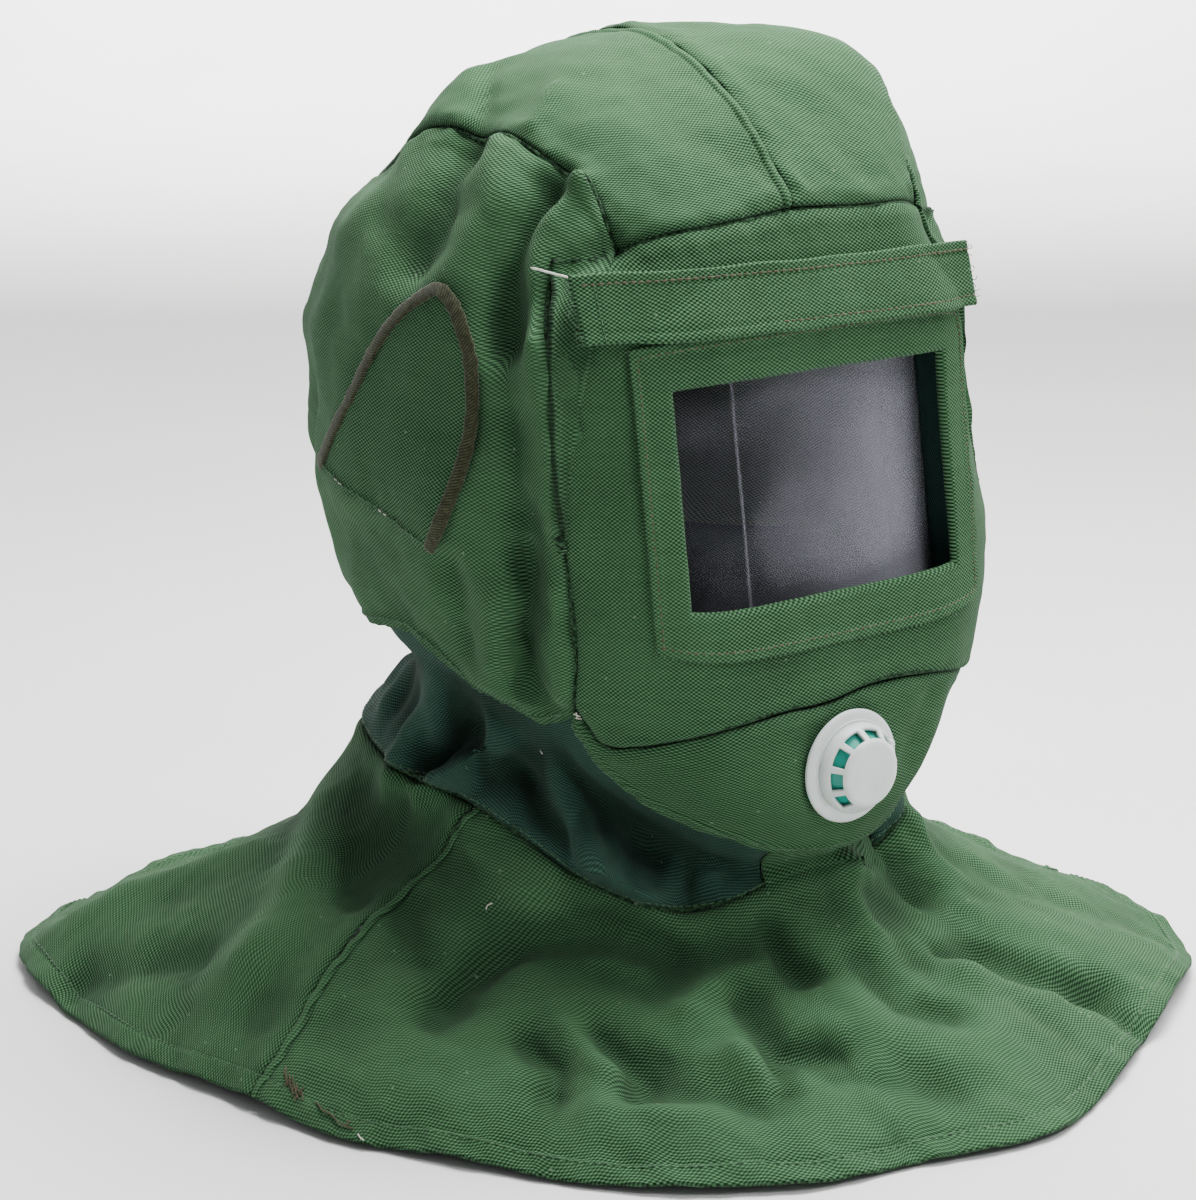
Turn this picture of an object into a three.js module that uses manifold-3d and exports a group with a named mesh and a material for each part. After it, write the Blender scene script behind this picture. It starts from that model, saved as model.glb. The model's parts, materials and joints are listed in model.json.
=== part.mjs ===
// Sandblasting hood with a window, an exhale valve and a shoulder cape, as it hangs when worn.
// Lengths are in millimetres. x runs to the wearer's left, forward is -y, and up is +z.
// Inside the functions a place is (x, forward, height above the hem); the group is moved once at the end.
import * as THREE from 'three';
import { mergeVertices } from 'three/addons/utils/BufferGeometryUtils.js';
import Module from 'manifold-3d';

const wasm = await Module();
wasm.setup();

// Sizes of the hood bag
const hoodHeight = 420;
const hoodHalfWidth = 134;
const hoodForward = 150;
const hoodBackward = 150;
const hoodMiddleForward = 20;
const centreHeight = 250;
const domeStartHeight = 280;
const faceForward = 155;
const faceTilt = 9.2;
const faceSoftness = 16;
const clothThickness = 2.2;
const seamGap = 0.3;

// Window, its frame, the lens and its holder
const windowWidth = 150;
const windowHeight = 96;
const windowMiddleHeight = 246;
const frameWidth = 188;
const frameHeight = 133;
const frameThickness = 1.4;
const cornerRadius = 1.5;
const layerGap = 0.35;
const lensThickness = 2;
const lensBendRadius = 185;
const lensHalfChord = 80;
const lensOverlap = 10;
const lensSetBack = 5;
const lensGap = 0.6;
const holderThickness = 2;
const holderMargin = 4;

// Brow strip
const stripRightReach = 112;
const stripLeftReach = 97;
const stripHeight = 27.5;
const stripShear = 3;
const stripAboveWindow = 78;
const stripMiddleHeight = windowMiddleHeight + stripAboveWindow;
const stripThickness = 3;
const stripSag = 11;
const stripTilt = -1.2;

// Exhale valve
const valveHeight = 0.3048 * hoodHeight;
const flangeRadius = 24.5;
const flangeThickness = 3;
const valveNeckRadius = 17;
const valveNeckWall = 2;
const valveNeckDepth = 12;
const capRadius = 19.5;
const capDepth = 12;
const capFaceRadius = 14;
const capWall = 1.6;
const slotCount = 10;
const slotWidth = 7;
const slotDepth = 5;
const slotShare = 0.4;
const capShoulderShare = 0.45;
const capChamfer = 1;
const diaphragmThickness = 2;
const diaphragmShare = 0.78;
const fitClearance = 0.3;

// Collar and cape
const hemRadius = 273;
const neckRadius = 128;
const neckRise = 110;
const neckMiddleForward = 22;
const collarTuck = 8;
const collarClear = 3;
const tuckGap = 0.4;
const tongueHalfAngle = 10;
const shoulderAngle = 73;
const layingFrom = 0.8;
const layingSpan = 0.5;
const collarUp = 0.1;
const capeUp = 0.94;
const capeLevel = 0.35;

// Ear flaps
const flapThickness = 1.6;
const flapGap = 0.4;
const bindingGap = 0.8;
const bindingWidth = 5;
const bindingThickness = 2.4;
const bindingProfile = [
  { across: -0.5, lift: 0 }, { across: -0.5, lift: 0.6 }, { across: 0, lift: 1 },
  { across: 0.5, lift: 0.6 }, { across: 0.5, lift: 0 },
];

const canvasGreen = 0x2f6a41;
const collarGreen = 0x1d4f3c;
const holderGreen = 0x16352f;
const bindingBrown = 0x3d3822;
const lensTint = 0xd4d8dc;
const valveWhite = 0xe4ebe9;
const valveTeal = 0x16a38c;

// Horizontal sections of the bag: height as a share of hoodHeight, reach as shares of
// hoodHalfWidth, hoodForward and hoodBackward
const bagSections = [
  { height: 0.100, side: 0.30, front: 0.60, back: 0.30 },
  { height: 0.190, side: 0.50, front: 0.90, back: 0.34 },
  { height: 0.226, side: 0.57, front: 0.99, back: 0.35 },
  { height: 0.262, side: 0.65, front: 1.05, back: 0.36 },
  { height: 0.310, side: 0.75, front: 1.08, back: 0.38 },
  { height: 0.357, side: 0.82, front: 1.08, back: 0.43 },
  { height: 0.380, side: 0.87, front: 1.08, back: 0.54 },
  { height: 0.417, side: 0.91, front: 1.07, back: 0.70 },
  { height: 0.445, side: 0.935, front: 1.06, back: 0.83 },
  { height: 0.476, side: 0.95, front: 1.04, back: 0.90 },
  { height: 0.571, side: 1.00, front: 1.00, back: 0.98 },
  { height: 0.667, side: 0.985, front: 0.97, back: 1.00 },
];
const frontSquareness = 2.5;
const backSquareness = 2.2;
const domeSquareness = { side: 2.0, front: 1.75, back: 1.75 };

// Puffs (push above 0) and dents along short paths. A place is shares of hoodHalfWidth,
// hoodForward in front of the middle, and hoodHeight; width and push are shares of hoodHalfWidth.
const hoodFolds = [
  { name: 'puff of the far crown', path: [[0.6, 0.3, 0.95]], width: 0.42, push: 0.2 },
  { name: 'far cheek', path: [[0.8, 0.7, 0.48], [0.75, 0.75, 0.37]], width: 0.24, push: 0.085 },
  { name: 'sunken back of the near crown', path: [[-0.45, -0.5, 0.9]], width: 0.35, push: -0.07 },
  { name: 'corner behind the near crown', path: [[-0.52, -0.2, 0.95]], width: 0.16, push: 0.06 },
  { name: 'pleat under the seam', path: [[-0.7, 0.08, 0.9], [-0.82, 0.05, 0.81]], width: 0.1, push: -0.06 },
  { name: 'roll beside the face', path: [[-0.76, 0.5, 0.88], [-0.86, 0.52, 0.7]], width: 0.08, push: 0.05 },
  { name: 'hollow over the strip, right', path: [[-0.6, 0.75, 0.83]], width: 0.14, push: -0.05 },
  { name: 'hollow over the strip, left', path: [[0.7, 0.7, 0.825]], width: 0.14, push: -0.05 },
  { name: 'groove by the chin', path: [[-0.84, 0.5, 0.44], [-0.8, 0.57, 0.37]], width: 0.08, push: -0.05 },
  { name: 'roll over the edge', path: [[-0.88, 0.4, 0.4], [-0.84, 0.55, 0.36]], width: 0.1, push: 0.05 },
  { name: 'cheek roll', path: [[-0.95, 0.3, 0.56], [-0.9, 0.3, 0.46]], width: 0.16, push: 0.04 },
];

// Seam guide points in the same shares; each is carried out to the surface of the bag
const seams = {
  crownMiddle: [[0, 0.75, 0.851], [0, 0.52, 0.926], [0, 0.34, 0.981], [0, -0.03, 1.0],
    [0, -0.47, 0.952], [0, -0.77, 0.857], [0, -0.92, 0.774]],
  crownSide: [[0.657, 0.72, 0.853], [0.612, 0.547, 0.893], [0.627, 0.387, 0.907],
    [0.642, 0.073, 0.924], [0.627, -0.267, 0.888], [0.597, -0.533, 0.845], [0.463, -0.787, 0.774]],
  crownBack: [[0.463, -0.787, 0.774], [0.23, -0.88, 0.774], [0, -0.92, 0.774]],
  faceTopEnd: [[0.821, 0.587, 0.833], [0.74, 0.66, 0.845], [0.657, 0.72, 0.853]],
  faceTopHalf: [[0.657, 0.72, 0.853], [0.336, 0.78, 0.855], [0, 0.75, 0.851]],
  faceSide: [[0.821, 0.587, 0.833], [0.836, 0.62, 0.75], [0.813, 0.653, 0.586],
    [0.791, 0.687, 0.488], [0.769, 0.68, 0.426], [0.746, 0.64, 0.374]],
  chinSeam: [[-0.746, 0.64, 0.374], [-0.677, 0.68, 0.338], [-0.62, 0.79, 0.34],
    [-0.55, 0.885, 0.351], [-0.458, 0.95, 0.363], [-0.27, 0.99, 0.37], [-0.05, 0.995, 0.371],
    [0.12, 0.99, 0.379], [0.317, 0.985, 0.378], [0.494, 0.95, 0.371], [0.634, 0.84, 0.36],
    [0.746, 0.64, 0.374]],
  chinEdge: [[0.731, 0.62, 0.36], [0.634, 0.64, 0.312], [0.522, 0.733, 0.274],
    [0.358, 0.853, 0.245], [0.187, 0.907, 0.224], [0, 0.953, 0.214]],
  sideEdge: [[0.731, 0.62, 0.36], [0.84, 0.53, 0.322], [0.89, 0.4, 0.345],
    [0.9, 0.22, 0.385], [0.866, 0.03, 0.415], [0.776, -0.267, 0.407],
    [0.56, -0.547, 0.39], [0.3, -0.66, 0.385], [0, -0.7, 0.385]],
  back: [[0, -0.92, 0.774], [0, -0.947, 0.643], [0, -0.867, 0.512], [0, -0.7, 0.385]],
  flapFrontArc: [[0.9, 0.265, 0.769], [0.905, 0.315, 0.758], [0.915, 0.365, 0.735],
    [0.92, 0.405, 0.704], [0.93, 0.42, 0.666], [0.945, 0.41, 0.626], [0.965, 0.375, 0.582],
    [0.98, 0.33, 0.548], [0.98, 0.28, 0.522]],
  flapBackArc: [[0.9, 0.235, 0.769], [0.92, 0.17, 0.757], [0.94, 0.085, 0.732],
    [0.96, -0.01, 0.692], [0.97, -0.11, 0.645], [0.97, -0.21, 0.602], [0.96, -0.3, 0.565]],
};

// Neck seam: degrees from the front, reach as a share of neckRadius, rise as a share of neckRise
const neckSections = [
  { angle: 0, reach: 1.0, rise: 0.69 },
  { angle: 9, reach: 1.0, rise: 0.66 },
  { angle: 18, reach: 0.99, rise: 0.60 },
  { angle: 26, reach: 1.0, rise: 0.59 },
  { angle: 34, reach: 1.0, rise: 0.61 },
  { angle: 42, reach: 0.99, rise: 0.67 },
  { angle: 51, reach: 0.97, rise: 0.755 },
  { angle: 60, reach: 0.93, rise: 0.84 },
  { angle: 73, reach: 0.885, rise: 0.91 },
  { angle: 85, reach: 0.86, rise: 0.92 },
  { angle: 110, reach: 0.88, rise: 0.93 },
  { angle: 138, reach: 0.96, rise: 0.97 },
  { angle: 180, reach: 0.99, rise: 1.0 },
];

// Hem: degrees from the front (minus is the wearer's right), reach and lift as shares of hemRadius,
// and how far the cloth between neck and hem has sunk
const hemSections = [
  { angle: -180, reach: 0.79, lift: 0.0, sink: 0.85 }, { angle: -165, reach: 0.82, lift: 0.0, sink: 0.9 },
  { angle: -150, reach: 0.87, lift: 0.0, sink: 0.9 }, { angle: -136, reach: 0.925, lift: 0.0, sink: 0.7 },
  { angle: -123, reach: 0.985, lift: 0.0, sink: 0.15 }, { angle: -108, reach: 0.945, lift: 0.01, sink: 0.0 },
  { angle: -92, reach: 0.905, lift: 0.0, sink: 0.0 }, { angle: -76, reach: 0.885, lift: 0.012, sink: 0.0 },
  { angle: -62, reach: 0.92, lift: 0.0, sink: 0.0 }, { angle: -50, reach: 0.935, lift: 0.004, sink: 0.0 },
  { angle: -37, reach: 0.993, lift: 0.0, sink: 0.0 }, { angle: -20, reach: 1.04, lift: 0.004, sink: 0.0 },
  { angle: -10, reach: 1.03, lift: 0.0, sink: 0.0 }, { angle: 3, reach: 1.06, lift: 0.0, sink: 0.0 },
  { angle: 18, reach: 1.0, lift: 0.0, sink: 0.0 }, { angle: 34, reach: 0.995, lift: 0.03, sink: 0.05 },
  { angle: 46, reach: 1.005, lift: 0.0, sink: 0.25 }, { angle: 60, reach: 0.95, lift: 0.01, sink: 0.5 },
  { angle: 72, reach: 0.885, lift: 0.0, sink: 0.75 }, { angle: 90, reach: 0.84, lift: 0.0, sink: 0.8 },
  { angle: 110, reach: 0.87, lift: 0.012, sink: 0.75 }, { angle: 130, reach: 0.89, lift: 0.0, sink: 0.6 },
  { angle: 155, reach: 0.84, lift: 0.006, sink: 0.7 }, { angle: 180, reach: 0.79, lift: 0.0, sink: 0.85 },
];

// Lean of the shoulder seams to the back, in degrees, at shares of the way from neck to hem
const shoulderLean = [
  { along: 0, lean: 0 }, { along: 0.08, lean: 5 }, { along: 0.23, lean: 8 }, { along: 0.48, lean: 4.5 },
  { along: 0.68, lean: 2 }, { along: 0.86, lean: 0 }, { along: 1, lean: 0 },
];
const leanReach = 16;

// Fall of the cape from the neck seam to the hem, both as shares
const capeProfile = [
  { along: 0, fall: 0 }, { along: 0.05, fall: 0.17 }, { along: 0.1, fall: 0.28 },
  { along: 0.18, fall: 0.37 }, { along: 0.35, fall: 0.47 }, { along: 0.52, fall: 0.57 },
  { along: 0.7, fall: 0.68 }, { along: 0.87, fall: 0.83 }, { along: 1, fall: 1 },
];

// Folds of the collar and cape. A place is shares of hemRadius to the left and in front of the
// middle, and a share of neckRise; width and push are shares of hemRadius.
const capeFolds = [
  { name: 'long valley',
    path: [[-0.62, 0.41, 0.4], [-0.48, 0.42, 0.5], [-0.36, 0.46, 0.55], [-0.28, 0.57, 0.5]],
    width: 0.045, push: -0.032 },
  { name: 'middle valley', path: [[-0.46, 0.63, 0.36], [-0.4, 0.76, 0.25], [-0.33, 0.83, 0.2]],
    width: 0.045, push: -0.026 },
  { name: 'short valley', path: [[-0.55, 0.58, 0.35], [-0.57, 0.67, 0.25]], width: 0.04, push: -0.02 },
  { name: 'pocket under the neck', path: [[-0.15, 0.64, 0.5]], width: 0.06, push: -0.03 },
  { name: 'pleat from the chin', path: [[0.13, 0.56, 0.6], [0.19, 0.62, 0.5], [0.17, 0.74, 0.4]],
    width: 0.04, push: 0.033 },
  { name: 'valley beside the pleat', path: [[0.22, 0.5, 0.6], [0.27, 0.62, 0.45], [0.25, 0.76, 0.35]],
    width: 0.04, push: -0.028 },
  { name: 'left valley', path: [[0.12, 0.71, 0.42], [0.22, 0.76, 0.35], [0.37, 0.82, 0.2]],
    width: 0.045, push: -0.028 },
  { name: 'shoulder ridge', path: [[-0.4, -0.22, 0.7], [-0.54, -0.05, 0.55], [-0.68, 0.06, 0.4]],
    width: 0.09, push: 0.035 },
  { name: 'crease behind the shoulder', path: [[-0.75, 0.13, 0.35], [-0.92, 0.22, 0.1]],
    width: 0.045, push: -0.022 },
  { name: 'far shoulder ridge', path: [[0.45, 0.0, 0.7], [0.72, 0.05, 0.4]], width: 0.1, push: 0.012 },
  { name: 'back valley', path: [[-0.25, -0.55, 0.65], [-0.4, -0.85, 0.2]], width: 0.07, push: -0.03 },
  { name: 'other back valley', path: [[0.2, -0.6, 0.6], [0.45, -0.8, 0.2]], width: 0.07, push: -0.03 },
];

// Numbers of facets
const crownRows = 14;
const crownColumns = 5;
const cornerColumns = 2;
const faceRows = 10;
const chinRows = 5;
const collarRows = 5;
const capeRows = 7;
const tongueColumns = 2;
const frontColumns = 14;
const backColumns = 16;
const roundFacets = 24;
const flapSamples = 12;
const stripRows = 2;
const stripColumns = 14;
const lensFacets = 20;
const holderRows = 4;
const holderColumns = 12;
const cornerFacets = 3;

// Steps and spans used when places are looked for
const bisections = 24;
const levelSteps = 9;
const fallReach = 1.05;
const edgeSamples = 60;
const edgeReach = 6;
const tuckReach = 3;
const normalTurn = 0.5;
const normalShare = 0.02;
const seamShare = 0.05;
const heldShare = 1 / collarRows;

const degrees = Math.PI / 180;
const middle = new THREE.Vector3(0, hoodMiddleForward, centreHeight);

function mix(a, b, share) {
  return a + (b - a) * share;
}

function ease(share) {
  const t = Math.min(Math.max(share, 0), 1);
  return t * t * (3 - 2 * t);
}

// Smooth value of one column of a table between its rows
function readTable(rows, key, column, value) {
  let i = 0;
  while (i < rows.length - 2 && value > rows[i + 1][key]) {
    i += 1;
  }
  const slope = (k) => {
    const a = rows[Math.max(k - 1, 0)];
    const b = rows[Math.min(k + 1, rows.length - 1)];
    return (b[column] - a[column]) / (b[key] - a[key]);
  };
  const span = rows[i + 1][key] - rows[i][key];
  const t = Math.min(Math.max((value - rows[i][key]) / span, 0), 1);
  const t2 = t * t;
  const t3 = t2 * t;
  return (2 * t3 - 3 * t2 + 1) * rows[i][column] + (t3 - 2 * t2 + t) * span * slope(i)
    + (3 * t2 - 2 * t3) * rows[i + 1][column] + (t3 - t2) * span * slope(i + 1);
}

// Reach of the bag to one side at a height
function bagReach(direction, size, height) {
  if (height <= domeStartHeight) {
    return size * readTable(bagSections, 'height', direction, height / hoodHeight);
  }
  const top = size * bagSections[bagSections.length - 1][direction];
  const climb = Math.min((height - domeStartHeight) / (hoodHeight - domeStartHeight), 1);
  const power = domeSquareness[direction];
  return top * Math.pow(1 - Math.pow(climb, power), 1 / power);
}

function insideBag(x, forward, height) {
  if (height >= hoodHeight || height < 0) {
    return false;
  }
  const ahead = forward - hoodMiddleForward;
  const power = ahead >= 0 ? frontSquareness : backSquareness;
  const [direction, size] = ahead >= 0 ? ['front', hoodForward] : ['back', hoodBackward];
  const depth = bagReach(direction, size, height);
  const side = bagReach('side', hoodHalfWidth, height);
  return Math.pow(Math.abs(x) / side, power) + Math.pow(Math.abs(ahead) / depth, power) < 1;
}

function bisect(isInside, far) {
  let near = 0;
  let out = far;
  for (let k = 0; k < bisections; k += 1) {
    const half = (near + out) / 2;
    if (isInside(half)) {
      near = half;
    } else {
      out = half;
    }
  }
  return near;
}

function distanceToPath(point, path) {
  let best = point.distanceTo(path[0]);
  for (let k = 0; k + 1 < path.length; k += 1) {
    const piece = new THREE.Line3(path[k], path[k + 1]);
    best = Math.min(best, point.distanceTo(piece.closestPointToPoint(point, true, new THREE.Vector3())));
  }
  return best;
}

function foldPush(point, folds) {
  let push = 0;
  for (const fold of folds) {
    const share = distanceToPath(point, fold.line) / fold.reach;
    push += fold.depth * Math.exp(-share * share);
  }
  return push;
}

function hoodPlace(shares) {
  return new THREE.Vector3(shares[0] * hoodHalfWidth, hoodMiddleForward + shares[1] * hoodForward,
    shares[2] * hoodHeight);
}

function capePlace(shares) {
  return new THREE.Vector3(shares[0] * hemRadius, shares[1] * hemRadius, shares[2] * neckRise);
}

const hoodPushes = hoodFolds.map((fold) => ({
  line: fold.path.map(hoodPlace), reach: fold.width * hoodHalfWidth, depth: fold.push * hoodHalfWidth,
}));
const capePushes = capeFolds.map((fold) => ({
  line: fold.path.map(capePlace), reach: fold.width * hemRadius, depth: fold.push * hemRadius,
}));

// Distance from the middle of the hood to its outer surface along a direction
function hoodReach(direction) {
  const isInside = (t) => insideBag(direction.x * t, middle.y + direction.y * t, middle.z + direction.z * t);
  const bag = bisect(isInside, hoodHeight);
  const slope = Math.tan(faceTilt * degrees);
  const ahead = faceForward - middle.y - (middle.z - windowMiddleHeight) * slope;
  const closing = direction.y + direction.z * slope;
  const face = closing > 0 ? ahead / closing : Infinity;
  const overlap = Math.max(faceSoftness - Math.abs(bag - face), 0) / faceSoftness;
  const smooth = Math.min(bag, face) - overlap * overlap * faceSoftness / 4;
  const point = direction.clone().multiplyScalar(smooth).add(middle);
  return smooth + foldPush(point, hoodPushes);
}

// The place on the hood's outer surface in line with a guide point, lifted off it or sunk in it
function onHood(place, lift = 0) {
  const direction = place.clone().sub(middle).normalize();
  return direction.clone().multiplyScalar(hoodReach(direction) + lift).add(middle);
}

function outOfHood(point) {
  return point.clone().sub(middle).normalize();
}

// Walk out level from a place inside the hood, in a level direction, to its surface less an inset
function levelReach(start, way, inset) {
  let reach = hoodForward;
  for (let k = 0; k < levelSteps; k += 1) {
    const spot = start.clone().addScaledVector(way, reach).sub(middle);
    const length = spot.length();
    reach *= (hoodReach(spot.divideScalar(length)) - inset) / length;
  }
  return reach;
}

// The forward place of the hood's surface at a width and height
function hoodFront(x, height) {
  return hoodMiddleForward + levelReach(new THREE.Vector3(x, hoodMiddleForward, height),
    new THREE.Vector3(0, 1, 0), 0);
}

// The radius of the hood's surface about the neck's middle at an angle and height
function hoodRadius(angle, height, inset) {
  return levelReach(new THREE.Vector3(0, neckMiddleForward, height),
    new THREE.Vector3(Math.sin(angle), Math.cos(angle), 0), inset);
}

// Closed solid from a net of outer places and the matching inner places
function shell(outer, inner, isIn = () => true) {
  const rows = outer.length - 1;
  const columns = outer[0].length - 1;
  const positions = [];
  const triangles = [];
  const edges = new Map();
  const place = (row, column, side) => (row * (columns + 1) + column) * 2 + side;
  for (let i = 0; i <= rows; i += 1) {
    for (let j = 0; j <= columns; j += 1) {
      positions.push(...outer[i][j].toArray(), ...inner[i][j].toArray());
    }
  }
  let facing = 0;
  for (let i = 0; i < rows; i += 1) {
    for (let j = 0; j < columns; j += 1) {
      if (!isIn(i, j)) {
        continue;
      }
      const corners = [[i, j], [i + 1, j], [i + 1, j + 1], [i, j + 1]];
      const [a, b, c, d] = corners.map(([r, k]) => place(r, k, 0));
      triangles.push([a, b, c], [a, c, d], [a + 1, c + 1, b + 1], [a + 1, d + 1, c + 1]);
      corners.forEach(([r, k], n) => {
        const [r2, k2] = corners[(n + 1) % 4];
        const back = `${r2},${k2},${r},${k}`;
        if (edges.has(back)) {
          edges.delete(back);
        } else {
          edges.set(`${r},${k},${r2},${k2}`, [place(r, k, 0), place(r2, k2, 0)]);
        }
      });
      const normal = outer[i + 1][j + 1].clone().sub(outer[i][j])
        .cross(outer[i][j + 1].clone().sub(outer[i + 1][j]));
      facing += normal.dot(outer[i][j].clone().sub(inner[i][j]));
    }
  }
  for (const [a, b] of edges.values()) {
    if (a < b) {
      triangles.push([a, a + 1, b + 1], [a, b + 1, b]);
    } else {
      triangles.push([a, a + 1, b], [b, a + 1, b + 1]);
    }
  }
  return solid(positions, triangles, facing < 0);
}

// Geometry from (x, forward, height) places, turned to x, -forward, height
function solid(positions, triangles, turned) {
  const used = new Map();
  const kept = [];
  const index = [];
  for (const triangle of triangles) {
    for (const n of triangle) {
      if (!used.has(n)) {
        used.set(n, kept.length / 3);
        kept.push(positions[3 * n], -positions[3 * n + 1], positions[3 * n + 2]);
      }
    }
    const [a, b, c] = triangle.map((n) => used.get(n));
    if (turned) {
      index.push(a, b, c);
    } else {
      index.push(a, c, b);
    }
  }
  const geometry = new THREE.BufferGeometry();
  geometry.setAttribute('position', new THREE.Float32BufferAttribute(kept, 3));
  geometry.setIndex(index);
  return geometry;
}

// Joining and cutting of closed geometries
function toManifold(geometry) {
  const bare = geometry.clone();
  bare.deleteAttribute('normal');
  bare.deleteAttribute('uv');
  const merged = mergeVertices(bare, 1e-4);
  return new wasm.Manifold(new wasm.Mesh({
    numProp: 3,
    vertProperties: new Float32Array(merged.attributes.position.array),
    triVerts: new Uint32Array(merged.index.array),
  }));
}

function fromManifold(manifold) {
  const mesh = manifold.getMesh();
  const geometry = new THREE.BufferGeometry();
  geometry.setAttribute('position', new THREE.BufferAttribute(new Float32Array(mesh.vertProperties), 3));
  geometry.setIndex(new THREE.BufferAttribute(new Uint32Array(mesh.triVerts), 1));
  return geometry;
}

function cut(geometry, ...tools) {
  let body = toManifold(geometry);
  for (const tool of tools) {
    body = body.subtract(toManifold(tool));
  }
  return fromManifold(body);
}

function keepInside(geometry, outline) {
  return fromManifold(toManifold(geometry).intersect(toManifold(outline)));
}

// Evenly spaced places along a smooth line through guide points, all on the hood
function sampleSeam(guides, count, side = 1) {
  const places = guides.map((guide) => hoodPlace([guide[0] * side, guide[1], guide[2]]));
  return new THREE.CatmullRomCurve3(places, false, 'centripetal').getSpacedPoints(count);
}

// Net of places between four border lines. bottom and top run the same way, as do first and last.
function borderNet(bottom, top, first, last) {
  const rows = first.length - 1;
  const columns = bottom.length - 1;
  const net = [];
  for (let i = 0; i <= rows; i += 1) {
    const v = i / rows;
    const row = [];
    for (let j = 0; j <= columns; j += 1) {
      const u = j / columns;
      const place = bottom[j].clone().multiplyScalar(1 - v).addScaledVector(top[j], v)
        .addScaledVector(first[i], 1 - u).addScaledVector(last[i], u)
        .addScaledVector(bottom[0], -(1 - u) * (1 - v)).addScaledVector(bottom[columns], -u * (1 - v))
        .addScaledVector(top[0], -(1 - u) * v).addScaledVector(top[columns], -u * v);
      row.push(place);
    }
    net.push(row);
  }
  return net;
}

// The side panels reach round the back, so their nets are made in angles about the middle
function toAngles(place) {
  const direction = place.clone().sub(middle).normalize();
  return new THREE.Vector3(Math.atan2(Math.abs(direction.x), direction.y), Math.asin(direction.z), 0);
}

function fromAngles(angles, side) {
  const level = Math.cos(angles.y);
  const direction = new THREE.Vector3(side * Math.sin(angles.x) * level, Math.cos(angles.x) * level,
    Math.sin(angles.y));
  return direction.add(middle);
}

// Draw the border of a net in by half of the seam gap
function drawIn(net, amount) {
  const rows = net.length - 1;
  const columns = net[0].length - 1;
  const moved = net.map((row) => row.map((place) => place.clone()));
  const step = (i, j, i2, j2) => {
    const way = net[i2][j2].clone().sub(net[i][j]).normalize();
    moved[i][j].addScaledVector(way, amount);
  };
  for (let j = 0; j <= columns; j += 1) {
    step(0, j, 1, j);
    step(rows, j, rows - 1, j);
  }
  for (let i = 0; i <= rows; i += 1) {
    step(i, 0, i, 1);
    step(i, columns, i, columns - 1);
  }
  return moved;
}

function hoodPanel(net) {
  const outer = drawIn(net.map((row) => row.map((place) => onHood(place))), seamGap / 2);
  const sunk = (place) => place.clone().addScaledVector(outOfHood(place), -clothThickness);
  return shell(outer, outer.map((row) => row.map(sunk)));
}

const crownLines = (side) => ({
  middle: sampleSeam(seams.crownMiddle, crownRows),
  edge: sampleSeam(seams.crownSide, crownRows, side),
  front: sampleSeam(seams.faceTopHalf, crownColumns, side).reverse(),
  back: sampleSeam(seams.crownBack, crownColumns, side).reverse(),
});

function crownHalf(side) {
  const lines = crownLines(side);
  return hoodPanel(borderNet(lines.front, lines.back, lines.middle, lines.edge));
}

function sideNet(side) {
  const crown = crownLines(side);
  const top = [
    ...sampleSeam(seams.faceTopEnd, cornerColumns, side),
    ...crown.edge.slice(1),
    ...crown.back.slice(0, -1).reverse(),
  ];
  const bottom = sampleSeam(seams.sideEdge, top.length - 1, side);
  const front = sampleSeam(seams.faceSide, faceRows, side).reverse();
  front.unshift(bottom[0]);
  const back = sampleSeam(seams.back, front.length - 1).reverse();
  const [low, high, first, last] = [bottom, top, front, back].map((line) => line.map(toAngles));
  return borderNet(low, high, first, last).map((row) => row.map((angles) => fromAngles(angles, side)));
}

function sidePanel(side) {
  return hoodPanel(sideNet(side));
}

function faceTopLine() {
  const half = (side) => [
    ...sampleSeam(seams.faceTopEnd, cornerColumns, side),
    ...sampleSeam(seams.faceTopHalf, crownColumns, side).slice(1),
  ];
  return [...half(-1), ...half(1).reverse().slice(1)];
}

function chinSeamLine() {
  return sampleSeam(seams.chinSeam, 2 * (cornerColumns + crownColumns));
}

// Lean a piece made about the middle of the window, with y measured from the face, as the face leans
function tiltWithFace(geometry) {
  geometry.rotateX(-faceTilt * degrees);
  geometry.translate(0, -faceForward, windowMiddleHeight);
  return geometry;
}

// Straight prism along y through the front of the hood, round a window of the given size
function windowPrism(width, height) {
  const radius = cornerRadius;
  const shape = new THREE.Shape();
  const w = width / 2;
  const h = height / 2;
  shape.moveTo(-w + radius, -h);
  shape.lineTo(w - radius, -h);
  shape.absarc(w - radius, -h + radius, radius, -Math.PI / 2, 0);
  shape.lineTo(w, h - radius);
  shape.absarc(w - radius, h - radius, radius, 0, Math.PI / 2);
  shape.lineTo(-w + radius, h);
  shape.absarc(-w + radius, h - radius, radius, Math.PI / 2, Math.PI);
  shape.lineTo(-w, -h + radius);
  shape.absarc(-w + radius, -h + radius, radius, Math.PI, 1.5 * Math.PI);
  const prism = new THREE.ExtrudeGeometry(shape, {
    depth: hoodForward, bevelEnabled: false, curveSegments: cornerFacets,
  });
  prism.translate(0, 0, -hoodForward / 2);
  prism.rotateX(Math.PI / 2);
  return tiltWithFace(prism);
}

function faceNet() {
  const [right, left] = [-1, 1].map((side) => sampleSeam(seams.faceSide, faceRows, side).reverse());
  return borderNet(chinSeamLine(), faceTopLine(), right, left);
}

function facePanel() {
  return cut(hoodPanel(faceNet()), windowPrism(windowWidth, windowHeight));
}

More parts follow.
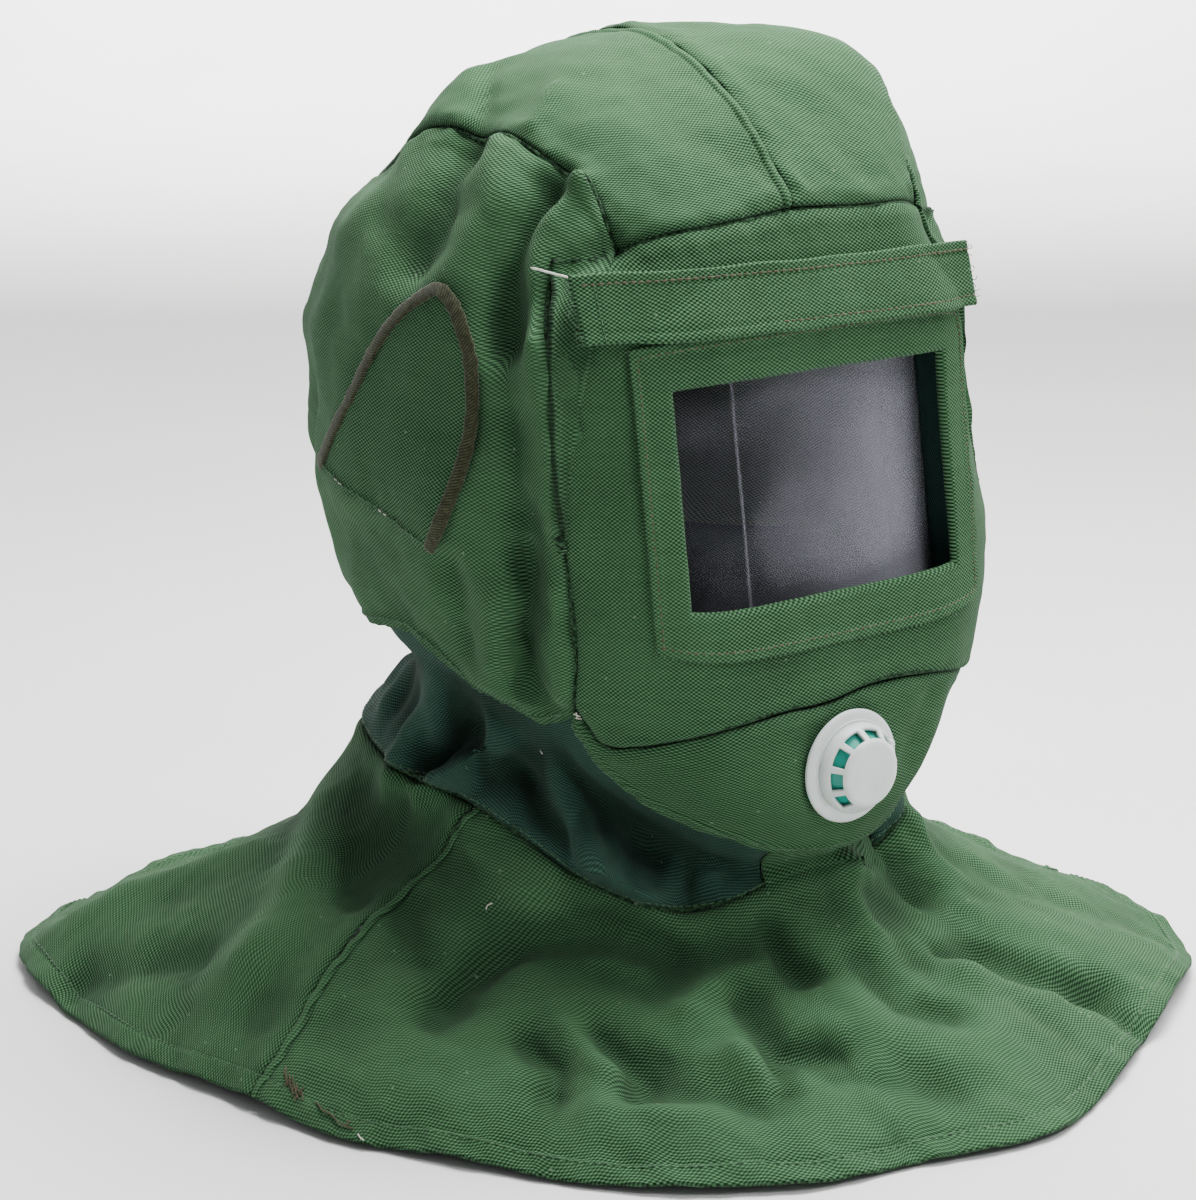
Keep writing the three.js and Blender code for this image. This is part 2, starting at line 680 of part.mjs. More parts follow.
function chinPanel() {
  const columns = 2 * (cornerColumns + crownColumns);
  const half = sampleSeam(seams.chinEdge, columns / 2, -1);
  const edge = [...half, ...sampleSeam(seams.chinEdge, columns / 2).reverse().slice(1)];
  const top = chinSeamLine();
  const end = (from, to) => evenSteps(0, 1, chinRows).map((share) => from.clone().lerp(to, share));
  const net = borderNet(edge, top, end(edge[0], top[0]), end(edge[columns], top[columns]));
  const hole = new THREE.CylinderGeometry(valveNeckRadius + fitClearance, valveNeckRadius + fitClearance,
    hoodForward, roundFacets);
  hole.translate(0, -valveForward, valveHeight);
  return cut(hoodPanel(net), hole);
}

// Second layer over the face panel, standing off the places of a net by a gap
function layer(net, gap, thickness) {
  const lifted = (lift) => net.map((row) => row.map((place) => onHood(place, lift)));
  return shell(lifted(gap + thickness), lifted(gap));
}

function lensFrame() {
  const sheet = layer(faceNet(), layerGap, frameThickness);
  const patch = keepInside(sheet, windowPrism(frameWidth, frameHeight));
  return cut(patch, windowPrism(windowWidth, windowHeight));
}

// Strip across the brow: it touches the panel in the middle and bridges the hollows at its ends
function browStrip() {
  const outer = [];
  const inner = [];
  const middleBack = hoodFront(0, stripMiddleHeight) + layerGap;
  for (let i = 0; i <= stripRows; i += 1) {
    const outerRow = [];
    const innerRow = [];
    for (let j = 0; j <= stripColumns; j += 1) {
      const level = mix(-stripRightReach, stripLeftReach, j / stripColumns);
      const x = level - stripShear * (i / stripRows - 0.5);
      const drop = x * Math.tan(stripTilt * degrees);
      const z = stripMiddleHeight + stripHeight * (i / stripRows - 0.5) + drop;
      const share = x / stripRightReach;
      const lean = (stripMiddleHeight - z) * Math.tan(faceTilt * degrees);
      const bridge = middleBack + lean - stripSag * share * share;
      const seat = mix(2 * layerGap + frameThickness, layerGap, i / stripRows);
      const back = Math.max(bridge, hoodFront(x, z) + seat);
      innerRow.push(new THREE.Vector3(x, back, z));
      outerRow.push(new THREE.Vector3(x, back + stripThickness, z));
    }
    outer.push(outerRow);
    inner.push(innerRow);
  }
  return shell(outer, inner);
}

const panelBack = -clothThickness - layerGap;

// How far the bent lens falls back at a place across it
function lensFall(x) {
  return lensBendRadius - Math.sqrt(lensBendRadius * lensBendRadius - x * x);
}

// How far the face panel falls back from its flat there, at a place across and up the leaning face
function panelFall(x, up) {
  const height = windowMiddleHeight + up * Math.cos(faceTilt * degrees);
  const flat = faceForward - (height - windowMiddleHeight) * Math.tan(faceTilt * degrees);
  const panel = Math.min(hoodFront(x, height), hoodFront(x * fallReach, height));
  return (flat - panel) * Math.cos(faceTilt * degrees);
}

function lens() {
  const height = windowHeight + 2 * lensOverlap;
  const shape = new THREE.Shape();
  const front = (x) => -(panelBack - lensSetBack - lensFall(x));
  const edge = (k) => lensHalfChord * (2 * k / lensFacets - 1);
  shape.moveTo(edge(0), front(edge(0)));
  for (let k = 1; k <= lensFacets; k += 1) {
    shape.lineTo(edge(k), front(edge(k)));
  }
  for (let k = lensFacets; k >= 0; k -= 1) {
    shape.lineTo(edge(k), front(edge(k)) + lensThickness);
  }
  const sheet = new THREE.ExtrudeGeometry(shape, { depth: height, bevelEnabled: false });
  sheet.translate(0, 0, -height / 2);
  return tiltWithFace(sheet);
}

// Cloth sleeve from the back of the face panel to the front of the lens, round the window
function lensHolder() {
  const outlineSteps = [holderColumns, holderRows, holderColumns, holderRows];
  const corners = [[-1, -1], [1, -1], [1, 1], [-1, 1]];
  const halfWide = windowWidth / 2 + holderMargin;
  const halfHigh = windowHeight / 2 + holderMargin;
  const positions = [];
  const triangles = [];
  const stations = [];
  corners.forEach((corner, n) => {
    const next = corners[(n + 1) % 4];
    for (let k = 0; k < outlineSteps[n]; k += 1) {
      const share = k / outlineSteps[n];
      stations.push([mix(corner[0], next[0], share), mix(corner[1], next[1], share)]);
    }
  });
  for (const [u, v] of stations) {
    const inset = holderThickness;
    for (const [margin, isBack] of [[0, false], [0, true], [inset, true], [inset, false]]) {
      const x = u * (halfWide - margin);
      const z = v * (halfHigh - margin);
      const reach = isBack ? lensSetBack - lensGap + lensFall(x) : panelFall(x, z) + lensGap;
      positions.push(x, panelBack - reach, z);
    }
  }
  const count = stations.length;
  for (let n = 0; n < count; n += 1) {
    const here = 4 * n;
    const there = 4 * ((n + 1) % count);
    for (let k = 0; k < 4; k += 1) {
      const a = here + k;
      const b = here + (k + 1) % 4;
      const c = there + (k + 1) % 4;
      const d = there + k;
      triangles.push([a, b, c], [a, c, d]);
    }
  }
  return tiltWithFace(solid(positions, triangles, true));
}

// Exhale valve: the most forward place of the chin under the flange carries it
function chinFront() {
  let front = 0;
  for (let k = 0; k < roundFacets; k += 1) {
    const turn = 2 * Math.PI * k / roundFacets;
    for (const share of [0, 0.5, 1]) {
      const x = share * flangeRadius * Math.cos(turn);
      front = Math.max(front, hoodFront(x, valveHeight + share * flangeRadius * Math.sin(turn)));
    }
  }
  return front;
}

const valveForward = chinFront() + layerGap;
const capFoot = flangeThickness + fitClearance;
const capShoulder = capFoot + capShoulderShare * capDepth;

// Turn a lathe's profile, its axis along y, to point forward from the chin
function valveTurn(profile) {
  const turned = new THREE.LatheGeometry(profile.map(([r, y]) => new THREE.Vector2(r, y)), roundFacets);
  turned.rotateX(Math.PI);
  turned.translate(0, -valveForward, valveHeight);
  return turned;
}

function valveFlange() {
  const bore = valveNeckRadius - valveNeckWall;
  return valveTurn([[bore, -valveNeckDepth], [valveNeckRadius, -valveNeckDepth], [valveNeckRadius, 0],
    [flangeRadius, 0], [flangeRadius, flangeThickness / 2], [capRadius + capChamfer, flangeThickness],
    [bore, flangeThickness], [bore, -valveNeckDepth]]);
}

function valveCap() {
  const top = capFoot + capDepth;
  const inside = capRadius - capWall;
  const body = valveTurn([[inside, capFoot], [capRadius, capFoot], [capRadius, capShoulder],
    [capFaceRadius + capChamfer, top - capChamfer], [capFaceRadius, top], [0, top], [0, top - capWall],
    [capFaceRadius - capChamfer, top - capWall], [inside, capShoulder - capChamfer], [inside, capFoot]]);
  const tools = [];
  for (let k = 0; k < slotCount; k += 1) {
    const slot = new THREE.BoxGeometry(slotWidth, slotDepth, 2 * (capRadius - capFaceRadius));
    slot.translate(0, mix(capShoulder, top, slotShare), capRadius - capChamfer);
    slot.rotateY(2 * Math.PI * (k + 0.5) / slotCount);
    slot.rotateX(Math.PI);
    slot.translate(0, -valveForward, valveHeight);
    tools.push(slot);
  }
  return cut(body, ...tools);
}

function valveDiaphragm() {
  const radius = capRadius - capWall - fitClearance;
  const narrow = capFaceRadius - capChamfer - fitClearance;
  const high = capShoulder + capChamfer + diaphragmThickness;
  return valveTurn([[0, capFoot], [radius, capFoot], [radius, mix(capFoot, capShoulder, diaphragmShare)],
    [narrow, high], [0, high]]);
}

// The hood's lower edge as angles about the neck and heights, from the chin round to the back
function lowerEdge(side) {
  const line = [...sampleSeam(seams.chinEdge, edgeSamples, side).reverse(),
    ...sampleSeam(seams.sideEdge, edgeSamples, side)].map((guide) => onHood(guide));
  return line.map((spot) => ({
    turn: Math.atan2(Math.abs(spot.x), spot.y - neckMiddleForward) / degrees, height: spot.z,
  }));
}

const lowerEdges = { right: lowerEdge(-1), left: lowerEdge(1) };

// Lowest and highest place of the hood's edge near an angle
function edgeNear(angle) {
  const line = angle < 0 ? lowerEdges.right : lowerEdges.left;
  const near = line.filter((spot) => Math.abs(spot.turn - Math.abs(angle)) < edgeReach);
  const heights = near.map((spot) => spot.height);
  return { low: Math.min(...heights), high: Math.max(...heights) };
}

// Radius that clears the inside of the hood at a place and all round it
function tuckedRadius(angle, height) {
  const radii = [];
  for (const turn of [-tuckReach, 0, tuckReach]) {
    for (const rise of [-tuckReach, 0, tuckReach]) {
      radii.push(hoodRadius((angle + turn) * degrees, height + rise, clothThickness + tuckGap));
    }
  }
  return Math.min(...radii);
}

// The cloth beside a shoulder seam leans back with it
function leanedAngle(angle, share) {
  const lean = readTable(shoulderLean, 'along', 'lean', Math.max(share - 1, 0));
  const near = Math.exp(-(((Math.abs(angle) - shoulderAngle) / leanReach) ** 2));
  return angle + Math.sign(angle) * lean * near;
}

// Place on the collar and cape: share 0 is the collar's top, 1 the neck seam and 2 the hem
function neckPlace(netAngle, share) {
  const angle = leanedAngle(netAngle, share);
  const turn = Math.abs(angle);
  const seamHeight = readTable(neckSections, 'angle', 'rise', turn) * neckRise;
  const seamRadius = readTable(neckSections, 'angle', 'reach', turn) * neckRadius;
  const sin = Math.sin(angle * degrees);
  const cos = Math.cos(angle * degrees);
  const seam = new THREE.Vector3(sin * seamRadius, neckMiddleForward + cos * seamRadius, seamHeight);
  let spot;
  let loose = 1;
  if (share <= 1) {
    const edge = edgeNear(angle);
    const leaving = Math.max(edge.low - collarClear, seamHeight + 2 * collarClear);
    const held = share <= heldShare;
    const height = held ? mix(edge.high + collarTuck, leaving, share / heldShare)
      : mix(leaving, seamHeight, (share - heldShare) / (1 - heldShare));
    loose = held ? 0 : ease((share - heldShare) / (1 - heldShare));
    const radius = mix(tuckedRadius(angle, height), seamRadius, loose);
    spot = new THREE.Vector3(sin * radius, neckMiddleForward + cos * radius, height);
  } else {
    const along = share - 1;
    const reach = readTable(hemSections, 'angle', 'reach', angle) * hemRadius;
    const lift = readTable(hemSections, 'angle', 'lift', angle) * hemRadius;
    const sink = readTable(hemSections, 'angle', 'sink', angle);
    spot = seam.clone().lerp(new THREE.Vector3(sin * reach, cos * reach, 0), along);
    spot.z = mix(seamHeight * (1 - sink * along), lift, readTable(capeProfile, 'along', 'fall', along));
  }
  const lying = ease((share - layingFrom) / layingSpan);
  const level = mix(1, capeLevel, lying);
  const out = new THREE.Vector3(sin * level, cos * level, mix(collarUp, capeUp, lying));
  return spot.addScaledVector(out, foldPush(spot, capePushes) * loose);
}

function neckNormal(angle, share) {
  const around = neckPlace(angle + normalTurn, share).sub(neckPlace(angle - normalTurn, share));
  const low = Math.min(share + normalShare, 2);
  const high = Math.max(share - normalShare, 0);
  const down = neckPlace(angle, low).sub(neckPlace(angle, high));
  const normal = around.cross(down).normalize();
  const radial = new THREE.Vector3(Math.sin(angle * degrees), Math.cos(angle * degrees), capeLevel);
  return normal.dot(radial) < 0 ? normal.negate() : normal;
}

function neckShell(angles, shares, isIn) {
  const outer = shares.map((share) => angles.map((angle) => neckPlace(wrap(angle), share)));
  const inner = shares.map((share, i) => angles.map((angle, j) => outer[i][j].clone()
    .addScaledVector(neckNormal(wrap(angle), nearSeam(share)), -clothThickness)));
  return shell(outer, inner, isIn);
}

// Both sides of the neck seam lean the same way
function nearSeam(share) {
  return Math.abs(share - 1) < seamShare ? 1 : share;
}

function wrap(angle) {
  return angle > 180 ? angle - 360 : angle;
}

function evenSteps(from, to, count) {
  return Array.from({ length: count + 1 }, (_, k) => mix(from, to, k / count));
}

const halfGapAngle = seamGap / 2 / neckRadius / degrees;
const collarFall = neckRise / 2;

function collar() {
  const side = [
    ...evenSteps(tongueHalfAngle, shoulderAngle, frontColumns),
    ...evenSteps(shoulderAngle, 180, backColumns).slice(1),
  ];
  const angles = [...side, ...side.slice(0, -1).reverse().map((angle) => 360 - angle)];
  angles[0] += 2 * halfGapAngle;
  angles[angles.length - 1] -= 2 * halfGapAngle;
  const shares = evenSteps(0, 1, collarRows);
  shares[collarRows] -= seamGap / collarFall;
  return neckShell(angles, shares);
}

function capeFront() {
  const half = [
    ...evenSteps(0, tongueHalfAngle, tongueColumns),
    ...evenSteps(tongueHalfAngle, shoulderAngle, frontColumns).slice(1),
  ];
  half[half.length - 1] -= halfGapAngle;
  const angles = [...half.slice(1).reverse().map((angle) => -angle), ...half];
  const shares = [...evenSteps(0, 1, collarRows), ...evenSteps(1, 2, capeRows).slice(1)];
  const isIn = (row, column) => row >= collarRows
    || (column >= frontColumns && column < frontColumns + 2 * tongueColumns);
  return neckShell(angles, shares, isIn);
}

function capeBack() {
  const half = evenSteps(shoulderAngle, 180, backColumns);
  half[0] += halfGapAngle;
  const angles = [...half, ...half.slice(0, -1).reverse().map((angle) => 360 - angle)];
  return neckShell(angles, evenSteps(1, 2, capeRows));
}

// Ear flap: a layer over the side panel inside its arch, and the binding that follows the arch
function earFlap(side) {
  const back = sampleSeam(seams.flapBackArc, flapSamples, side);
  const front = sampleSeam(seams.flapFrontArc, flapSamples, side);
  const line = [...back.reverse(), ...front].map((guide) => onHood(guide));
  const centre = line.reduce((sum, spot) => sum.add(spot), new THREE.Vector3()).divideScalar(line.length);
  const inset = bindingWidth / 2 + 2 * fitClearance;
  const outline = line.map((spot, n) => {
    const next = line[Math.min(n + 1, line.length - 1)];
    const last = line[Math.max(n - 1, 0)];
    const along = new THREE.Vector2(next.y - last.y, next.z - last.z).normalize();
    const inward = new THREE.Vector2(-along.y, along.x);
    const toCentre = new THREE.Vector2(centre.y - spot.y, centre.z - spot.z);
    const way = inward.dot(toCentre) < 0 ? -1 : 1;
    return new THREE.Vector2(spot.y + way * inward.x * inset, spot.z + way * inward.y * inset);
  });
  const arch = new THREE.ExtrudeGeometry(new THREE.Shape(outline), {
    depth: 2 * hoodHalfWidth, bevelEnabled: false,
  });
  arch.applyMatrix4(new THREE.Matrix4().makeBasis(new THREE.Vector3(0, -1, 0), new THREE.Vector3(0, 0, 1),
    new THREE.Vector3(-1, 0, 0)));
  if (side > 0) {
    arch.translate(2 * hoodHalfWidth, 0, 0);
  }
  return keepInside(layer(sideNet(side), flapGap, flapThickness), arch);
}

function earBinding(side) {
  const back = sampleSeam(seams.flapBackArc, flapSamples, side);
  const front = sampleSeam(seams.flapFrontArc, flapSamples, side);
  const line = [...back.reverse(), ...front];
  const positions = [];
  const triangles = [];
  line.forEach((place, n) => {
    const foot = onHood(place);
    const next = onHood(line[Math.min(n + 1, line.length - 1)]);
    const last = onHood(line[Math.max(n - 1, 0)]);
    const across = next.sub(last).cross(outOfHood(foot)).normalize();
    for (const corner of bindingProfile) {
      const point = foot.clone().addScaledVector(across, corner.across * bindingWidth);
      const seated = onHood(point, bindingGap + corner.lift * bindingThickness);
      positions.push(...seated.toArray());
    }
  });
  const ring = bindingProfile.length;
  for (let n = 0; n + 1 < line.length; n += 1) {
    for (let k = 0; k < ring; k += 1) {
      const a = n * ring + k;
      const b = n * ring + (k + 1) % ring;
      triangles.push([a, b, b + ring], [a, b + ring, a + ring]);
    }
  }
  const end = (line.length - 1) * ring;
  for (let k = 1; k + 1 < ring; k += 1) {
    triangles.push([0, k + 1, k], [end, end + k, end + k + 1]);
  }
  return solid(positions, triangles, false);
}

const canvas = { color: canvasGreen, roughness: 0.92, metalness: 0 };
const collarCloth = { color: collarGreen, roughness: 0.9, metalness: 0 };
const holderCloth = { color: holderGreen, roughness: 0.85, metalness: 0 };
const braid = { color: bindingBrown, roughness: 0.95, metalness: 0 };
const clearSheet = { color: lensTint, roughness: 0.08, metalness: 0, transparent: true, opacity: 0.3 };
const whitePlastic = { color: valveWhite, roughness: 0.35, metalness: 0 };
const tealPlastic = { color: valveTeal, roughness: 0.5, metalness: 0 };

// Where a head carries the hood: the inside of the crown, over the middle of the hood
const seatHeight = onHood(new THREE.Vector3(0, hoodMiddleForward, hoodHeight), -clothThickness).z;

const group = new THREE.Group();
group.name = 'sandblasting_hood';

function place(name, geometry, look) {
  geometry.computeVertexNormals();
  const mesh = new THREE.Mesh(geometry, new THREE.MeshStandardMaterial(look));
  mesh.name = name;
  mesh.position.set(0, hoodMiddleForward, -seatHeight);
  group.add(mesh);
}

place('crown_right', crownHalf(-1), canvas);
place('crown_left', crownHalf(1), canvas);
place('side_right', sidePanel(-1), canvas);
place('side_left', sidePanel(1), canvas);
place('face_panel', facePanel(), canvas);
place('chin_panel', chinPanel(), canvas);
place('lens_frame', lensFrame(), canvas);
place('brow_strip', browStrip(), canvas);
place('lens', lens(), clearSheet);
place('lens_holder', lensHolder(), holderCloth);
place('valve_flange', valveFlange(), whitePlastic);
place('valve_cap', valveCap(), whitePlastic);
place('valve_diaphragm', valveDiaphragm(), tealPlastic);
place('collar', collar(), collarCloth);
place('cape_front', capeFront(), canvas);
place('cape_back', capeBack(), canvas);
place('ear_flap_right', earFlap(-1), canvas);
place('ear_flap_left', earFlap(1), canvas);
place('ear_binding_right', earBinding(-1), braid);
place('ear_binding_left', earBinding(1), braid);

export default group;
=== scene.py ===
# %% [markdown]
# # A canvas sandblasting hood
# The object is a protective hood as it hangs when worn: a big bag of heavy green canvas with a flat
# face and a clear window, an exhale valve at the chin, a darker cloth collar, and a shoulder cape.
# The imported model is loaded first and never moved. Every piece below is made in the same frame,
# in metres, so a fine piece of cloth lies exactly where its plain solid does.

# %% Load the frame and keep its size
import json
import math

import bpy
import numpy as np
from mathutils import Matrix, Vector

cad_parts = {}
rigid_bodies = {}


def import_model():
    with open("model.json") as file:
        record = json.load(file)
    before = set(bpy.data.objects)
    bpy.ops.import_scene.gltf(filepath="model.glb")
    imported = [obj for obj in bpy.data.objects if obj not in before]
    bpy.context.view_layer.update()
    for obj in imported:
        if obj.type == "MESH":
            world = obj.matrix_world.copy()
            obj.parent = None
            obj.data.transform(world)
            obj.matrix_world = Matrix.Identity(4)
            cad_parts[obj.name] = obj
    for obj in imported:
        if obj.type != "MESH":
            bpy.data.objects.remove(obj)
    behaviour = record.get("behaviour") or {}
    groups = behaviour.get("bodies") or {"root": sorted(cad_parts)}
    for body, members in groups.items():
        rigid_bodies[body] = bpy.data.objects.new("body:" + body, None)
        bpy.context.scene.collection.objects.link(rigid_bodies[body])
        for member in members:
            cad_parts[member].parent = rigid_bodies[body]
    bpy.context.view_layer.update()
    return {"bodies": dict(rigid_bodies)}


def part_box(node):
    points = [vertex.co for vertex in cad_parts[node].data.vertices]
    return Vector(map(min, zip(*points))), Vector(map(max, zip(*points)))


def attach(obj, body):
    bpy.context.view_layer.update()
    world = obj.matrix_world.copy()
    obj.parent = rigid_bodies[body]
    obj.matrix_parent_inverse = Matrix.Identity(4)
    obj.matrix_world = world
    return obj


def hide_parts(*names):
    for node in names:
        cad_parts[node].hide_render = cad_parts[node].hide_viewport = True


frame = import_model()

# %% [markdown]
# ## The camera
# The camera comes first, because what it sees decides how fine each piece has to be. It stands at the
# angle of the photograph: a little to the wearer's right of straight ahead, looking slightly down.

# %% Camera at the photograph's angle
PICTURE = (1196, 1200)
SENSOR_MM, LENS_MM = 36, 96
CAMERA_TURN, CAMERA_RISE, CAMERA_AWAY = math.radians(-37), math.radians(15.3), 1.465
looked_at = Vector((0, 0.020, -0.2583))


def add_camera():
    data = bpy.data.cameras.new("camera")
    data.sensor_width, data.lens, data.clip_end = SENSOR_MM, LENS_MM, 50
    camera = bpy.data.objects.new("camera", data)
    back = Vector((math.sin(CAMERA_TURN) * math.cos(CAMERA_RISE),
                   -math.cos(CAMERA_TURN) * math.cos(CAMERA_RISE), math.sin(CAMERA_RISE)))
    camera.location = looked_at + back * CAMERA_AWAY
    camera.rotation_euler = back.to_track_quat("Z", "Y").to_euler()
    bpy.context.collection.objects.link(camera)
    bpy.context.scene.camera = camera
    return camera


add_camera()
print("camera", tuple(round(x, 3) for x in bpy.context.scene.camera.location))

# %% [markdown]
# ## The shape of the bag
# The hood is a bag that a head fills: level sections below, a dome above, and a flat leaning face in
# front. It could be sculpted by hand, but a rule is easier to keep true to the solids: from one middle
# point, each direction has one distance to the cloth. Soft puffs and dents are pushed in or out of it
# along short paths. Places are x, forward and height above the hem, in millimetres.

# %% Sizes of the hood
MM = 0.001
HOOD_HEIGHT, HALF_WIDTH, FORWARD, BACKWARD = 420, 134, 150, 150
MIDDLE_FORWARD, CENTRE_HEIGHT, DOME_START = 20, 250, 280
FACE_FORWARD, FACE_TILT, FACE_SOFTNESS = 155, math.radians(9.2), 16
CLOTH, SEAM_GAP, LAYER_GAP = 2.2, 0.3, 0.35
WINDOW_WIDTH, WINDOW_HEIGHT, WINDOW_MIDDLE = 150, 96, 246
MIDDLE = np.array([0, MIDDLE_FORWARD, CENTRE_HEIGHT], float)

# columns: height, side, front, back, as shares
BAG = np.array([
    [0.100, 0.30, 0.60, 0.30], [0.190, 0.50, 0.90, 0.34], [0.226, 0.57, 0.99, 0.35],
    [0.262, 0.65, 1.05, 0.36], [0.310, 0.75, 1.08, 0.38], [0.357, 0.82, 1.08, 0.43],
    [0.380, 0.87, 1.08, 0.54], [0.417, 0.91, 1.07, 0.70], [0.445, 0.935, 1.06, 0.83],
    [0.476, 0.95, 1.04, 0.90], [0.571, 1.00, 1.00, 0.98], [0.667, 0.985, 0.97, 1.00]])
SIDE, FRONT, BACK = 1, 2, 3
DOME_POWER = {SIDE: 2.0, FRONT: 1.75, BACK: 1.75}


def read_table(table, column, value):
    """Smooth value of a column between its rows, at each given value of the first column."""
    key, kept = table[:, 0], table[:, column]
    last = len(key) - 1
    low, high = np.maximum(np.arange(last + 1) - 1, 0), np.minimum(np.arange(last + 1) + 1, last)
    slope = (kept[high] - kept[low]) / (key[high] - key[low])
    i = np.clip(np.searchsorted(key, value, side="left") - 1, 0, last - 1)
    span = key[i + 1] - key[i]
    t = np.clip((value - key[i]) / span, 0, 1)
    return ((2 * t**3 - 3 * t**2 + 1) * kept[i] + (t**3 - 2 * t**2 + t) * span * slope[i]
            + (3 * t**2 - 2 * t**3) * kept[i + 1] + (t**3 - t**2) * span * slope[i + 1])


def bag_reach(column, size, height):
    below = size * read_table(BAG, column, np.minimum(height, DOME_START) / HOOD_HEIGHT)
    climb = np.clip((height - DOME_START) / (HOOD_HEIGHT - DOME_START), 0, 1)
    power = DOME_POWER[column]
    dome = size * BAG[-1, column] * np.power(1 - climb**power, 1 / power)
    return np.where(height <= DOME_START, below, dome)


def inside_bag(x, forward, height):
    ahead = forward - MIDDLE_FORWARD
    depth = np.where(ahead >= 0, bag_reach(FRONT, FORWARD, height), bag_reach(BACK, BACKWARD, height))
    power = np.where(ahead >= 0, 2.5, 2.2)
    side = bag_reach(SIDE, HALF_WIDTH, height)
    whole = (np.abs(x) / np.maximum(side, 1e-6))**power + (np.abs(ahead) / np.maximum(depth, 1e-6))**power
    return (whole < 1) & (height < HOOD_HEIGHT) & (height >= 0)


# %% [markdown]
# ## Puffs, dents and folds
# The folds of the worn cloth are what make it look like cloth. The large ones are the same as in the
# solids. The fine ones are only here: the sharp pleat under the crown seam, the fat roll beside the
# face, and the small hollows that show in the light.

# %% Folds of the hood, as shares of its sizes
# each: path of (x, forward, height), width, push
HOOD_FOLDS = [
    ([(0.6, 0.3, 0.95)], 0.42, 0.2),
    ([(0.8, 0.7, 0.48), (0.75, 0.75, 0.37)], 0.24, 0.085),
    ([(-0.45, -0.5, 0.9)], 0.35, -0.07),
    ([(-0.52, -0.2, 0.95)], 0.16, 0.06),
    ([(-0.7, 0.08, 0.9), (-0.82, 0.05, 0.81)], 0.1, -0.06),
    ([(-0.76, 0.5, 0.88), (-0.86, 0.52, 0.7)], 0.08, 0.02),
    ([(-0.6, 0.75, 0.83)], 0.14, -0.05),
    ([(0.7, 0.7, 0.825)], 0.14, -0.05),
    ([(-0.84, 0.5, 0.44), (-0.8, 0.57, 0.37)], 0.08, -0.05),
    ([(-0.88, 0.4, 0.4), (-0.84, 0.55, 0.36)], 0.1, 0.05),
    ([(-0.95, 0.3, 0.56), (-0.9, 0.3, 0.46)], 0.16, 0.04),
]
# the narrow ones of the right side: the pinch under the crown, the roll beside the face and its hollow,
# and the gathers over the collar
HOOD_CREASES = [
    ([(-0.44, -0.13, 0.972), (-0.59, 0.03, 0.93)], 0.035, -0.022),
    ([(-0.38, -0.17, 0.99), (-0.47, -0.2, 0.965)], 0.05, 0.025),
    ([(-0.63, 0.05, 0.905), (-0.672, 0.072, 0.882), (-0.81, 0.13, 0.846), (-0.889, 0.1, 0.797)], 0.06, -0.04),
    ([(-0.664, 0.184, 0.901), (-0.79, 0.293, 0.85), (-0.879, 0.263, 0.803)], 0.08, 0.03),
    ([(-0.602, 0.491, 0.879), (-0.673, 0.495, 0.862), (-0.766, 0.505, 0.841), (-0.824, 0.526, 0.811),
      (-0.855, 0.559, 0.777), (-0.859, 0.588, 0.735)], 0.045, 0.072),
    ([(-0.859, 0.588, 0.735), (-0.851, 0.615, 0.688), (-0.835, 0.638, 0.636), (-0.832, 0.65, 0.57)], 0.042, 0.05),
    ([(-0.66, 0.44, 0.872), (-0.76, 0.435, 0.84), (-0.845, 0.44, 0.8), (-0.9, 0.48, 0.739)], 0.075, -0.1),
    ([(-0.903, 0.51, 0.72), (-0.883, 0.54, 0.65), (-0.87, 0.565, 0.57)], 0.07, -0.05),
    ([(-0.453, 0.206, 0.956), (-0.521, 0.243, 0.939), (-0.571, 0.257, 0.926)], 0.04, 0.022),
    ([(-0.623, 0.64, 0.83), (-0.737, 0.6, 0.811), (-0.781, 0.61, 0.79)], 0.06, -0.04),
    ([(-0.976, 0.338, 0.502), (-0.95, 0.35, 0.461), (-0.925, 0.355, 0.419)], 0.06, -0.045),
    ([(-0.86, 0.57, 0.53), (-0.845, 0.56, 0.48), (-0.825, 0.534, 0.438), (-0.797, 0.52, 0.396)], 0.05, -0.085),
    ([(-0.897, 0.47, 0.479), (-0.876, 0.456, 0.424)], 0.06, 0.05),
    ([(-0.812, 0.635, 0.5), (-0.79, 0.62, 0.44), (-0.77, 0.62, 0.4)], 0.04, 0.05),
    ([(0.385, 0.985, 0.345), (0.257, 1.011, 0.291)], 0.05, -0.025),
    ([(-0.2, 1.0, 0.28), (-0.42, 0.86, 0.29)], 0.06, 0.02),
    ([(-0.93, -0.5, 0.62), (-0.8, -0.65, 0.5)], 0.12, -0.05),
    ([(0.9, 0.1, 0.84), (0.97, 0.2, 0.7)], 0.09, -0.05),
    ([(0.85, 0.5, 0.83), (0.9, 0.5, 0.68)], 0.08, -0.045),
    ([(0.93, 0.3, 0.5), (0.86, 0.4, 0.4)], 0.07, -0.045),
    ([(0.3, -0.85, 0.7), (0.1, -0.85, 0.55)], 0.12, -0.04),
    ([(-0.45, -0.75, 0.72), (-0.3, -0.85, 0.55)], 0.1, -0.05),
]


def hood_place(shares):
    return np.array([shares[0] * HALF_WIDTH, MIDDLE_FORWARD + shares[1] * FORWARD, shares[2] * HOOD_HEIGHT])


def path_distance(points, path):
    best = np.linalg.norm(points - path[0], axis=-1)
    for a, b in zip(path[:-1], path[1:]):
        way = b - a
        t = np.clip(((points - a) @ way) / max(way @ way, 1e-9), 0, 1)
        best = np.minimum(best, np.linalg.norm(points - a - t[..., None] * way, axis=-1))
    return best


